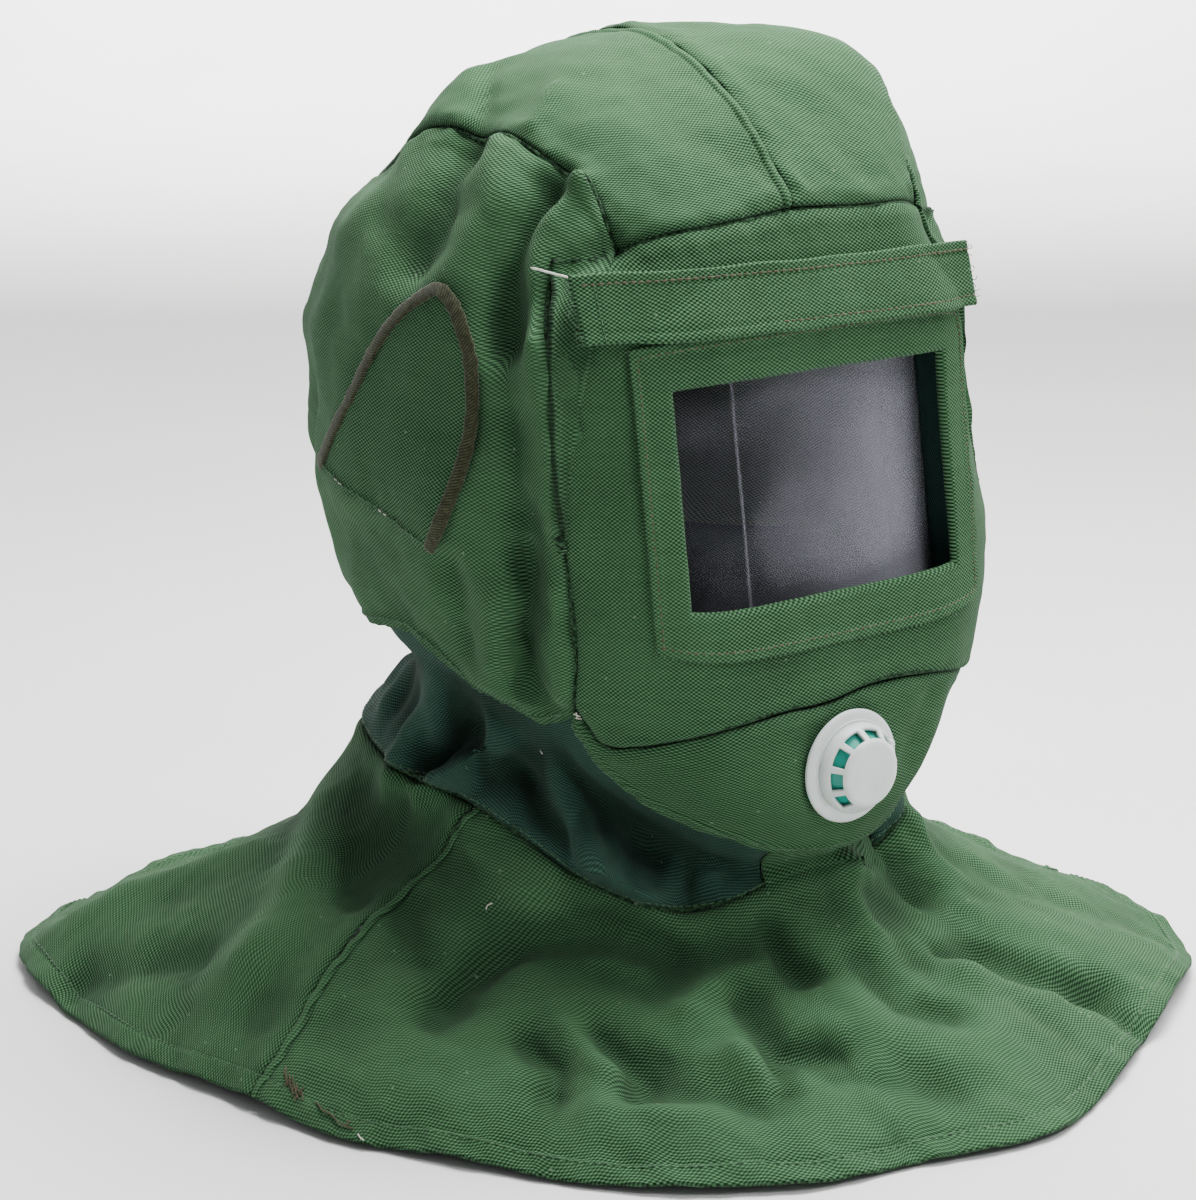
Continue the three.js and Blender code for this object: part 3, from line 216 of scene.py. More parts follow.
def fold_push(points, folds, place, size):
    push = np.zeros(points.shape[:-1])
    for path, width, depth in folds:
        share = path_distance(points, np.array([place(p) for p in path])) / (width * size)
        push += depth * size * np.exp(-share**1.8)
    return push


def hood_reach(direction):
    """Distance from the middle to the cloth along each direction."""
    near, out = np.zeros(direction.shape[:-1]), np.full(direction.shape[:-1], float(HOOD_HEIGHT))
    for _ in range(22):
        half = (near + out) / 2
        spot = MIDDLE + direction * half[..., None]
        inside = inside_bag(spot[..., 0], spot[..., 1], spot[..., 2])
        near, out = np.where(inside, half, near), np.where(inside, out, half)
    slope = math.tan(FACE_TILT)
    ahead = FACE_FORWARD - MIDDLE[1] - (MIDDLE[2] - WINDOW_MIDDLE) * slope
    closing = direction[..., 1] + direction[..., 2] * slope
    face = np.where(closing > 1e-6, ahead / np.maximum(closing, 1e-6), 1e6)
    overlap = np.maximum(FACE_SOFTNESS - np.abs(near - face), 0) / FACE_SOFTNESS
    smooth = np.minimum(near, face) - overlap**2 * FACE_SOFTNESS / 4
    spots = MIDDLE + direction * smooth[..., None]
    return smooth + fold_push(spots, HOOD_FOLDS + HOOD_CREASES, hood_place, HALF_WIDTH)


def unit(vectors):
    return vectors / np.maximum(np.linalg.norm(vectors, axis=-1, keepdims=True), 1e-9)


def on_hood(places, lift=0.0):
    direction = unit(np.asarray(places, float) - MIDDLE)
    return MIDDLE + direction * (hood_reach(direction) + lift)[..., None]


SEAT = on_hood(np.array([[0, MIDDLE_FORWARD, HOOD_HEIGHT]]), -CLOTH)[0, 2]

# %% [markdown]
# ## Seam lines
# A seam is a smooth line through a few guide points, carried out to the cloth. Neighbouring panels
# share the same line, so their edges meet.

# %% Seams as shares of the hood
SEAMS = {
    "crown_middle": [(0, 0.75, 0.851), (0, 0.52, 0.926), (0, 0.34, 0.981), (0, -0.03, 1.0),
                     (0, -0.47, 0.952), (0, -0.77, 0.857), (0, -0.92, 0.774)],
    "crown_side": [(0.657, 0.72, 0.853), (0.612, 0.547, 0.893), (0.627, 0.387, 0.907),
                   (0.642, 0.073, 0.924), (0.627, -0.267, 0.888), (0.597, -0.533, 0.845),
                   (0.463, -0.787, 0.774)],
    "crown_back": [(0.463, -0.787, 0.774), (0.23, -0.88, 0.774), (0, -0.92, 0.774)],
    "face_top_end": [(0.821, 0.587, 0.833), (0.74, 0.66, 0.845), (0.657, 0.72, 0.853)],
    "face_top_half": [(0.657, 0.72, 0.853), (0.336, 0.78, 0.855), (0, 0.75, 0.851)],
    "face_side": [(0.821, 0.587, 0.833), (0.836, 0.62, 0.75), (0.813, 0.653, 0.586),
                  (0.791, 0.687, 0.488), (0.769, 0.68, 0.426), (0.746, 0.64, 0.374)],
    "chin_seam": [(-0.746, 0.64, 0.374), (-0.677, 0.68, 0.338), (-0.62, 0.79, 0.34), (-0.55, 0.885, 0.351),
                  (-0.458, 0.95, 0.363), (-0.27, 0.99, 0.37), (-0.05, 0.995, 0.371), (0.12, 0.99, 0.379),
                  (0.317, 0.985, 0.378), (0.494, 0.95, 0.371), (0.634, 0.84, 0.36), (0.746, 0.64, 0.374)],
    "chin_edge": [(0.731, 0.62, 0.36), (0.634, 0.64, 0.312), (0.522, 0.733, 0.274),
                  (0.358, 0.853, 0.245), (0.187, 0.907, 0.224), (0, 0.953, 0.214)],
    "side_edge": [(0.731, 0.62, 0.36), (0.84, 0.53, 0.322), (0.89, 0.4, 0.345), (0.9, 0.22, 0.385),
                  (0.866, 0.03, 0.415), (0.776, -0.267, 0.407), (0.56, -0.547, 0.39),
                  (0.3, -0.66, 0.385), (0, -0.7, 0.385)],
    "back": [(0, -0.92, 0.774), (0, -0.947, 0.643), (0, -0.867, 0.512), (0, -0.7, 0.385)],
    "flap_front": [(0.9, 0.265, 0.769), (0.905, 0.315, 0.758), (0.915, 0.365, 0.735), (0.92, 0.405, 0.704),
                   (0.93, 0.42, 0.666), (0.945, 0.41, 0.626), (0.965, 0.375, 0.582), (0.98, 0.33, 0.548),
                   (0.98, 0.28, 0.522)],
    "flap_back": [(0.9, 0.235, 0.769), (0.92, 0.17, 0.757), (0.94, 0.085, 0.732), (0.96, -0.01, 0.692),
                  (0.97, -0.11, 0.645), (0.97, -0.21, 0.602), (0.96, -0.3, 0.565)],
}


def centripetal(points, each=60):
    """Dense smooth line through guide points, by centripetal Catmull-Rom."""
    p = np.asarray(points, float)
    p = np.vstack([2 * p[0] - p[1], p, 2 * p[-1] - p[-2]])
    line = []
    for k in range(1, len(p) - 2):
        gaps = np.maximum(np.linalg.norm(np.diff(p[k - 1:k + 3], axis=0), axis=1)**0.5, 1e-6)
        d0, d1, d2 = gaps
        m1 = ((p[k] - p[k - 1]) / d0 - (p[k + 1] - p[k - 1]) / (d0 + d1) + (p[k + 1] - p[k]) / d1) * d1
        m2 = ((p[k + 1] - p[k]) / d1 - (p[k + 2] - p[k]) / (d1 + d2) + (p[k + 2] - p[k + 1]) / d2) * d1
        t = np.linspace(0, 1, each, endpoint=False)[:, None]
        line.append((2 * t**3 - 3 * t**2 + 1) * p[k] + (t**3 - 2 * t**2 + t) * m1
                    + (3 * t**2 - 2 * t**3) * p[k + 1] + (t**3 - t**2) * m2)
    return np.vstack([*line, p[-2][None]])


def seam(name, side=1):
    return centripetal([hood_place((side * x, f, h)) for x, f, h in SEAMS[name]])


def at_shares(line, shares):
    """Places at shares of a line's length."""
    run = np.concatenate([[0], np.cumsum(np.linalg.norm(np.diff(line, axis=0), axis=1))])
    return np.stack([np.interp(np.asarray(shares) * run[-1], run, line[:, k]) for k in range(3)], axis=1)


def line_length(line):
    return float(np.linalg.norm(np.diff(line, axis=0), axis=1).sum())


def shares_for(length, pitch=2.2, fine=0.8, margin=10.0):
    """Shares along a border: fine steps near both ends, where the seams are, and wider between."""
    ends = np.arange(0, margin, fine)
    inner = np.linspace(margin, length - margin, max(int((length - 2 * margin) / pitch), 2))
    return np.concatenate([ends, inner, length - ends[::-1]]) / length


def coons_at(bottom, top, first, last, u, v):
    corners = ((1 - u) * (1 - v) * bottom[0] + u * (1 - v) * bottom[-1]
               + (1 - u) * v * top[0] + u * v * top[-1])
    return ((1 - v) * bottom[None] + v * top[None] + (1 - u) * first[:, None] + u * last[:, None] - corners)


print("seam lengths in mm:", {name: round(line_length(seam(name))) for name in SEAMS})

# %% [markdown]
# ## From a net of places to a piece of cloth
# Canvas is a sheet with a thickness, so each panel is a closed shell: an outer net, an inner net one
# cloth lower, and a rim between them whose corners are eased, as a folded edge is. Its UV map is in
# metres of cloth, so that the weave keeps its real size and runs straight through a panel.

# %% Nets, normals and shells
ROW_SHIFT = np.array([0, MIDDLE_FORWARD, -SEAT])


def to_row(points):
    """From x, forward, height in mm to the frame's metres."""
    points = np.asarray(points, float)
    flipped = np.stack([points[..., 0], -points[..., 1], points[..., 2]], axis=-1)
    return (flipped + ROW_SHIFT) * MM


def net_normals(net, looped=False):
    """Unit normals of a net, turned to point away from its own middle side later."""
    if looped:
        wide = np.concatenate([net[:, -2:-1], net, net[:, 1:2]], axis=1)
        across = (wide[:, 2:] - wide[:, :-2])
    else:
        across = np.gradient(net, axis=1)
    return unit(np.cross(across, np.gradient(net, axis=0)))


def outward(net, normal, centre):
    flip = np.sign(((net - centre) * normal).sum(-1).mean())
    return normal * flip


def waves(points, length, seed, kinds=7):
    """Smooth even noise between about -1 and 1, the same each time, with bumps about length long."""
    dice = np.random.default_rng(seed)
    total = np.zeros(points.shape[:-1])
    for _ in range(kinds):
        way = unit(dice.normal(size=3)) * 2 * math.pi / (length * dice.uniform(0.7, 1.5))
        total += np.sin(points @ way + dice.uniform(0, 2 * math.pi))
    return total / math.sqrt(kinds)


def piece(name, points, faces, uv=None, material=None, attributes=None):
    """A mesh object from places in metres; uv has one row for each corner of each face."""
    mesh = bpy.data.meshes.new(name)
    mesh.from_pydata(points.tolist(), [], faces.tolist() if hasattr(faces, "tolist") else faces)
    if uv is not None:
        layer = mesh.uv_layers.new(name="cloth")
        layer.data.foreach_set("uv", np.asarray(uv, np.float32).ravel())
    for key, values in (attributes or {}).items():
        mesh.attributes.new(key, "FLOAT", "POINT").data.foreach_set("value", np.asarray(values, np.float32))
    mesh.polygons.foreach_set("use_smooth", np.ones(len(mesh.polygons), bool))
    mesh.update()
    made = bpy.data.objects.new(name, mesh)
    bpy.context.collection.objects.link(made)
    if material:
        mesh.materials.append(material)
    return made


def shell(name, outer, inner, uv, material, keep=None, looped=False, wear_and_shade=None):
    """Closed cloth from an outer and an inner net. keep marks the cells that exist."""
    rows, columns = outer.shape[:2]
    keep = np.ones((rows - 1, columns - 1), bool) if keep is None else keep
    label = np.arange(rows * columns).reshape(rows, columns)
    point = label.copy()
    if looped:
        point[:, -1] = point[:, 0]
    a, b, c, d = label[:-1, :-1], label[1:, :-1], label[1:, 1:], label[:-1, 1:]
    cells = np.stack([a, b, c, d], axis=-1)
    size = rows * columns
    tops = cells[keep]
    bottoms = tops[:, ::-1] + size
    rims = []
    padded = np.pad(keep, 1)
    if looped:
        padded[1:-1, 0], padded[1:-1, -1] = keep[:, -1], keep[:, 0]
    for (di, dj), (p, q) in {(0, -1): (0, 1), (1, 0): (1, 2), (0, 1): (2, 3), (-1, 0): (3, 0)}.items():
        open_side = keep & ~padded[1 + di:rows + di, 1 + dj:columns + dj]
        edge = cells[open_side][:, [p, q]]
        rims.append(np.stack([edge[:, 1], edge[:, 0], edge[:, 0] + size, edge[:, 1] + size], axis=1))
    corners = np.vstack([tops, bottoms, *rims])
    both = np.concatenate([outer.reshape(-1, 3), inner.reshape(-1, 3)])
    maps = np.concatenate([uv.reshape(-1, 2)] * 2)
    welded = np.concatenate([point.ravel(), point.ravel() + size])
    faces = welded[corners]
    facing = sum(float(np.cross(both[t[2]] - both[t[0]], both[t[3]] - both[t[1]]) @ (both[t[0]] - both[t[0] + size]))
                 for t in tops[::max(len(tops) // 200, 1)])
    rows_of = to_row(both)
    # the frame's y is turned round, so a cell that faces out before the turn faces in after it
    if facing > 0:
        corners, faces = corners[:, ::-1], faces[:, ::-1]
    used, faces = np.unique(faces, return_inverse=True)
    faces = faces.reshape(corners.shape)
    extra = None if wear_and_shade is None else {"wear_and_shade": np.concatenate([wear_and_shade.ravel()] * 2)[used]}
    made = piece(name, rows_of[used], faces, (maps * MM)[corners].reshape(-1, 2), material, extra)
    return made


def eased(outer, normal, thickness=CLOTH, rim=(1, 1, 1, 1), looped=False):
    """Inner net one cloth lower, and both nets eased towards each other at the rims (first row, last
    row, first column, last column)."""
    outer, lower = outer.copy(), outer - normal * thickness
    ease = thickness * 0.3
    for wanted, where in zip(rim, [(0, slice(None)), (-1, slice(None)), (slice(None), 0), (slice(None), -1)]):
        if wanted and not (looped and isinstance(where[0], slice)):
            outer[where] -= normal[where] * ease
            lower[where] += normal[where] * ease
    return outer, lower

# %% [markdown]
# ## Colours and the canvas
# The cloth is a heavy cotton duck: plain woven from thick two-ply yarn, dyed in the piece, matt, with
# pale yarn fibres that catch the light. The eye sees rows of small oval bumps in a brick-like order.
# A plain weave is two sets of ridges that pass over each other in turn, so it is worked out from the
# cloth's own UV map, with a slow wander so the yarn isn't ruler-straight.

# %% Colour and node helpers
def srgb(code, alpha=1.0):
    """A hex colour as the linear values that a shader wants."""
    shares = [int(code[i:i + 2], 16) / 255 for i in (1, 3, 5)]
    return (*[s / 12.92 if s <= 0.04045 else ((s + 0.055) / 1.055)**2.4 for s in shares], alpha)


def node(tree, kind, settings=None, **links):
    """Add a node, set its own settings, and set or link its inputs by name."""
    made = tree.nodes.new(kind)
    for key, value in (settings or {}).items():
        setattr(made, key, value)
    for key, value in links.items():
        name = key.replace("_", " ")
        found = [s for s in made.inputs if s.name == name or s.identifier == key]
        target = made.inputs[int(key[1:])] if key[0] == "i" and key[1:].isdigit() else found[0]
        if isinstance(value, bpy.types.NodeSocket):
            tree.links.new(value, target)
        else:
            target.default_value = value
    return made


def maths(tree, operation, *values, clamp=False):
    made = tree.nodes.new("ShaderNodeMath")
    made.operation, made.use_clamp = operation, clamp
    for place, value in zip(made.inputs, values):
        if isinstance(value, bpy.types.NodeSocket):
            tree.links.new(value, place)
        else:
            place.default_value = value
    return made.outputs[0]


def blank_material(name, colour, roughness, **sockets):
    """A Principled material with its plain numbers on its own sockets, and its tree to add to."""
    made = bpy.data.materials.new(name)
    made.use_nodes = True
    made.diffuse_color = srgb(colour)
    body = made.node_tree.nodes["Principled BSDF"]
    body.inputs["Base Color"].default_value = srgb(colour)
    body.inputs["Roughness"].default_value = roughness
    for key, value in sockets.items():
        body.inputs[key.replace("_", " ")].default_value = value
    return made, made.node_tree, body


def noise(tree, vector, scale, detail=2.0, roughness=0.5):
    return node(tree, "ShaderNodeTexNoise", Vector=vector, Scale=scale, Detail=detail,
                Roughness=roughness).outputs["Fac"]


def ramp(tree, value, stops):
    made = tree.nodes.new("ShaderNodeValToRGB")
    tree.links.new(value, made.inputs["Fac"])
    points = made.color_ramp.elements
    while len(points) < len(stops):
        points.new(0.5)
    for point, (place, colour) in zip(points, stops):
        point.position = place
        point.color = srgb(colour) if isinstance(colour, str) else (colour, colour, colour, 1)
    return made.outputs["Color"]


def mix_colour(tree, share, a, b, blend="MIX"):
    made = tree.nodes.new("ShaderNodeMix")
    made.data_type, made.blend_type = "RGBA", blend
    for index, value in ((0, share), (6, a), (7, b)):
        if isinstance(value, bpy.types.NodeSocket):
            tree.links.new(value, made.inputs[index])
        else:
            made.inputs[index].default_value = value
    return made.outputs[2]


# %% Woven cloth
def woven(name, pale, body_colour, deep, yarn_mm, bump_mm, roughness, blotch=0.25, fleck=0.5):
    """Plain-woven cloth. yarn_mm holds the real spacing of the warp and of the weft."""
    made, tree, body = blank_material(name, body_colour, roughness, Sheen_Weight=0.03, Sheen_Roughness=0.6,
                                      Specular_IOR_Level=0.1)
    cloth = node(tree, "ShaderNodeUVMap", {"uv_map": "cloth"}).outputs[0]
    place = node(tree, "ShaderNodeTexCoord").outputs["Object"]
    wander = node(tree, "ShaderNodeTexNoise", Vector=cloth, Scale=28.0, Detail=1.0).outputs["Color"]
    fine = node(tree, "ShaderNodeTexNoise", Vector=cloth, Scale=260.0, Detail=1.0).outputs["Color"]
    shift = node(tree, "ShaderNodeVectorMath", {"operation": "SCALE"}, i0=wander, Scale=0.003).outputs[0]
    small = node(tree, "ShaderNodeVectorMath", {"operation": "SCALE"}, i0=fine, Scale=0.0004).outputs[0]
    moved = node(tree, "ShaderNodeVectorMath", {"operation": "ADD"}, i0=cloth, i1=shift).outputs[0]
    moved = node(tree, "ShaderNodeVectorMath", {"operation": "ADD"}, i0=moved, i1=small).outputs[0]
    apart = node(tree, "ShaderNodeSeparateXYZ", Vector=moved)
    # a float of yarn shows at every second crossing, in rows that are staggered like bricks
    across = maths(tree, "COSINE", maths(tree, "MULTIPLY", apart.outputs[0], math.pi / (yarn_mm[0] * MM)))
    along = maths(tree, "COSINE", maths(tree, "MULTIPLY", apart.outputs[1], math.pi / (yarn_mm[1] * MM)))
    top = maths(tree, "MULTIPLY_ADD", maths(tree, "MULTIPLY", across, along), 0.5, 0.5)
    ply = noise(tree, moved, 1400.0, 2.0)
    height = maths(tree, "ADD", top, maths(tree, "MULTIPLY", ply, 0.16))
    slub = noise(tree, node(tree, "ShaderNodeMapping", Vector=cloth, Scale=(30, 420, 1)).outputs[0], 1.0, 1.0)
    height = maths(tree, "ADD", height, maths(tree, "MULTIPLY", slub, 0.12))
    relief = node(tree, "ShaderNodeBump", Height=height, Distance=bump_mm * MM, Strength=1.0)
    tree.links.new(relief.outputs[0], body.inputs["Normal"])
    # colour by the weave's height: painted shade in the hollows between the yarns, painted light on the raised floats
    weave_shaded_colour = ramp(tree, height, [(0.28, deep), (0.62, body_colour), (0.98, pale)])
    soft = noise(tree, place, 9.0, 3.0)
    aged = mix_colour(tree, maths(tree, "MULTIPLY", maths(tree, "SUBTRACT", soft, 0.42, clamp=True), blotch * 2),
                      weave_shaded_colour, srgb(pale))
    dusty = noise(tree, place, 30.0, 3.0)
    aged = mix_colour(tree, maths(tree, "MULTIPLY", maths(tree, "SUBTRACT", dusty, 0.5, clamp=True), blotch * 2),
                      aged, srgb(deep))
    # the attribute read here pales raised seams and fold crests, partly as real rubbing and partly as painted light,
    # and darkens seam creases, groove edges and fold hollows towards near-black as painted shade
    rubbed_and_shaded = node(tree, "ShaderNodeAttribute", {"attribute_name": "wear_and_shade"}).outputs["Fac"]
    ridge = maths(tree, "MULTIPLY", maths(tree, "MAXIMUM", rubbed_and_shaded, 0.0), 0.35, clamp=True)
    aged = mix_colour(tree, ridge, aged, srgb(pale))
    painted_crease_and_hollow_shade = maths(tree, "MULTIPLY", maths(tree, "MAXIMUM", maths(tree, "MULTIPLY", rubbed_and_shaded, -1.0), 0.0), 0.75, clamp=True)
    aged = mix_colour(tree, painted_crease_and_hollow_shade, aged, srgb("#0d1c12"))
    flecks = node(tree, "ShaderNodeTexVoronoi", Vector=cloth, Scale=70.0).outputs["Distance"]
    spot = maths(tree, "MULTIPLY", maths(tree, "LESS_THAN", flecks, 0.045), fleck)
    aged = mix_colour(tree, spot, aged, srgb("#8fa58c"))
    tree.links.new(aged, body.inputs["Base Color"])
    return made


# Cotton duck, piece-dyed green: thick floats of warp 1.3 mm apart, the weft packed at 0.75 mm
canvas = woven("green cotton duck", "#527a55", "#2a4c30", "#0c1a0e", (1.3, 0.8), 0.32, 0.93, fleck=0.3)
# Lighter-weight dyed duck of the collar: finer yarn, bluer and darker
collar_cloth = woven("dark green collar duck", "#3c5d50", "#1c382f", "#08120e", (1.1, 0.7), 0.25, 0.9, fleck=0.2)
# The sleeve behind the window is the collar's cloth darkened with painted shade, for the deep shade it sits in
sleeve_painted_shade_cloth = woven("collar cloth in painted shade for the sleeve", "#25463f", "#12302b", "#07130f", (1.1, 0.65), 0.25, 0.85, fleck=0.1)


def braid_cloth():
    """Brown binding: a narrow twill tape, whose slanting ribs and fuzz give a rough, dull edge."""
    made, tree, body = blank_material("brown twill tape", "#4a4231", 0.95, Sheen_Weight=0.2, Specular_IOR_Level=0.15)
    cloth = node(tree, "ShaderNodeUVMap", {"uv_map": "cloth"}).outputs[0]
    apart = node(tree, "ShaderNodeSeparateXYZ", Vector=cloth)
    slant = maths(tree, "ADD", maths(tree, "MULTIPLY", apart.outputs[0], 4600.0),
                  maths(tree, "MULTIPLY", apart.outputs[1], 3900.0))
    rib = maths(tree, "MULTIPLY", maths(tree, "ADD", maths(tree, "SINE", slant), 1.0), 0.5)
    fuzz, clump = noise(tree, cloth, 1700.0, 3.0), noise(tree, cloth, 420.0, 2.0)
    height = maths(tree, "ADD", maths(tree, "MULTIPLY", rib, 0.25),
                   maths(tree, "ADD", maths(tree, "MULTIPLY", fuzz, 0.5), maths(tree, "MULTIPLY", clump, 0.4)))
    tree.links.new(node(tree, "ShaderNodeBump", Height=height, Distance=0.4 * MM).outputs[0], body.inputs["Normal"])
    # colour by the height of the ribs and fuzz: painted shade between them, painted light on their tops
    tree.links.new(ramp(tree, height, [(0.3, "#14160c"), (0.58, "#2b2e1b"), (0.85, "#53573b")]),
                   body.inputs["Base Color"])
    return made


def thread_material(name, pale, dark):
    """Twisted sewing thread: two plies that wind round each other show as slanting light and dark."""
    made, tree, body = blank_material(name, pale, 0.7, Sheen_Weight=0.2, Specular_IOR_Level=0.3)
    place = node(tree, "ShaderNodeTexCoord").outputs["Object"]
    twist = noise(tree, place, 2200.0, 2.0)
    tree.links.new(ramp(tree, twist, [(0.35, dark), (0.65, pale)]), body.inputs["Base Color"])
    tree.links.new(node(tree, "ShaderNodeBump", Height=twist, Distance=0.1 * MM).outputs[0], body.inputs["Normal"])
    return made


braid = braid_cloth()
brown_thread = thread_material("brown sewing thread", "#5a5236", "#2c2818")
green_thread = thread_material("green sewing thread", "#44704a", "#1c3622")
white_thread = thread_material("white cotton thread", "#e6e6dc", "#aaa998")


def moulded(name, colour, deep, roughness, **sockets):
    """Injection-moulded plastic: even colour, a fine satin grain, and thin haze where it has been handled."""
    made, tree, body = blank_material(name, colour, roughness, **sockets)
    place = node(tree, "ShaderNodeTexCoord").outputs["Object"]
    grain, haze = noise(tree, place, 2600.0, 2.0), noise(tree, place, 90.0, 4.0)
    tree.links.new(mix_colour(tree, ramp(tree, haze, [(0.35, 0.0), (0.75, 0.35)]), srgb(colour), srgb(deep)),
                   body.inputs["Base Color"])
    tree.links.new(ramp(tree, haze, [(0.3, roughness), (0.8, min(roughness + 0.2, 1))]), body.inputs["Roughness"])
    tree.links.new(node(tree, "ShaderNodeBump", Height=grain, Distance=0.03 * MM).outputs[0], body.inputs["Normal"])
    return made


# Milky polypropylene of the valve: light goes a little way in, so its edges glow
milky_plastic = moulded("milky polypropylene", "#dde3e1", "#c3cccb", 0.34, Subsurface_Weight=0.25,
                        Subsurface_Scale=0.003, Coat_Weight=0.1)
teal_plastic = moulded("teal polypropylene", "#14a08d", "#0c7d70", 0.42, Subsurface_Weight=0.1,
                       Subsurface_Scale=0.002)


def clear_sheet():
    """Clear flexible sheet: nearly invisible face on, greyed by a painted reflection where it turns away, with a thin
    painted highlight line, smudges and dust.
    """
    made, tree, body = blank_material("clear flexible sheet", "#b4b3c0", 0.06, IOR=1.49, Coat_Weight=0.0)
    place = node(tree, "ShaderNodeTexCoord").outputs["Object"]
    edge = node(tree, "ShaderNodeLayerWeight", Blend=0.35).outputs["Facing"]
    smudge = ramp(tree, noise(tree, place, 26.0, 5.0), [(0.45, 0.0), (0.9, 0.08)])
    dust = node(tree, "ShaderNodeTexVoronoi", Vector=place, Scale=480.0).outputs["Distance"]
    speck = maths(tree, "MULTIPLY", maths(tree, "LESS_THAN", dust, 0.07), 0.3)
    across = node(tree, "ShaderNodeSeparateXYZ", Vector=node(tree, "ShaderNodeUVMap", {"uv_map": "cloth"}).outputs[0])
    # a thin painted highlight line runs up the sheet 35 mm to the wearer's right of its middle
    bent = maths(tree, "ABSOLUTE", maths(tree, "SUBTRACT", across.outputs[0], -35 * MM))
    crease = maths(tree, "MULTIPLY", maths(tree, "LESS_THAN", bent, 0.5 * MM), 0.16)
    # a grey film that thickens where the sheet turns away from the eye: a painted reflection
    painted_grazing_reflection = maths(tree, "MULTIPLY_ADD", edge, 0.9, -0.05)
    painted_reflection_and_smudge = maths(tree, "ADD", maths(tree, "ADD", maths(tree, "MAXIMUM", painted_grazing_reflection, 0.03), crease), smudge)
    tree.links.new(maths(tree, "ADD", painted_reflection_and_smudge, speck, clamp=True), body.inputs["Alpha"])
    tree.links.new(ramp(tree, noise(tree, place, 40.0, 3.0), [(0.4, 0.04), (0.8, 0.2)]), body.inputs["Roughness"])
    return made


window_sheet = clear_sheet()
print("materials:", [m.name for m in bpy.data.materials])

# %% [markdown]
# ## Seams in the cloth
# Where two panels are sewn, the stitches pull both edges in, so each panel dips to a crease and puffs up beside
# it. The middle seam of the crown is felled: one panel carries a narrow raised ridge. Along the face, the side
# panel turns over in a fat roll. These are worked out from each point's distance to its panel's borders, and small
# puckers fade away from the stitches. The same distances colour the cloth: painted shade darkens each crease and
# groove, and the raised parts are paler, as rubbing makes them.

# %% Relief beside a seam
def border_distances(net):
    """Distance of each place from the net's first row, last row, first column and last column."""
    down = np.linalg.norm(np.diff(net, axis=0), axis=2)
    across = np.linalg.norm(np.diff(net, axis=1), axis=2)
    from_top = np.vstack([np.zeros((1, net.shape[1])), np.cumsum(down, axis=0)])
    from_left = np.hstack([np.zeros((net.shape[0], 1)), np.cumsum(across, axis=1)])
    return from_top, from_top[-1:] - from_top, from_left, from_left[:, -1:] - from_left


def bell(value):
    return np.exp(-value**2)


def relief_of(kind, distance):
    """Height, and the paling and painted shade, that a kind of seam gives at a distance from it: the second value pales
    the raised parts, as rubbing does, and darkens the crease as painted shade.
    """
    if kind == "crease":
        return -1.5 * np.exp(-distance / 1.2) + 0.6 * bell((distance - 6) / 4), -np.exp(-distance / 0.9)
    if kind == "fell":
        ridge = 1 / (1 + np.exp((distance - 3.6) / 0.3))
        return (1.0 * ridge - 0.5 * bell((distance - 4.4) / 0.6) - 1.0 * np.exp(-distance / 0.5),
                0.5 * ridge - bell((distance - 4.2) / 0.5) - 1.2 * np.exp(-distance / 0.5))
    if kind == "roll":
        crown = np.sin(math.pi * np.clip(distance / 6.5, 0, 1))
        return (2.3 * crown - 1.6 * bell((distance - 7.6) / 1.7) - 1.6 * np.exp(-distance / 0.8),
                0.4 * crown - 0.7 * bell((distance - 7.4) / 1.0) - np.exp(-distance / 0.8))
    if kind == "hem":
        fold = 1 / (1 + np.exp((distance - 9.5) / 0.35))
        return 0.7 * fold - 0.4 * bell((distance - 9.9) / 0.5), 0.15 * fold - 0.8 * np.exp(-distance / 0.8)
    if kind == "lap":
        fold = 1 / (1 + np.exp((distance - 5.5) / 0.35))
        return 0.8 * fold - 0.3 * bell((distance - 3.2) / 0.5), 0.2 * fold - 0.8 * np.exp(-distance / 0.6)
    return np.zeros_like(distance), np.zeros_like(distance)


def seam_relief(net, kinds, pucker=0.35, seed=1):
    """Height along the normal, and paling with painted shade in the creases, for a panel whose four borders have these
    kinds of seam.
    """
    height, wear_and_shade = np.zeros(net.shape[:2]), np.zeros(net.shape[:2])
    for kind, distance in zip(kinds, border_distances(net)):
        if kind:
            more, rubbed_and_shaded = relief_of(kind, distance)
            height += more + pucker * waves(net, 10, seed) * np.exp(-distance / 10)
            wear_and_shade += rubbed_and_shaded
    return height, np.clip(wear_and_shade, -1.3, 1)


def rumpled(net, amount, seed):
    """Slow unevenness of handled canvas: wide soft hills and a finer crumple."""
    return amount * (0.9 * waves(net, 55, seed) + 0.35 * waves(net, 22, seed + 1) + 0.12 * waves(net, 9, seed + 2))


made_pieces = {}
stitch_lines = []


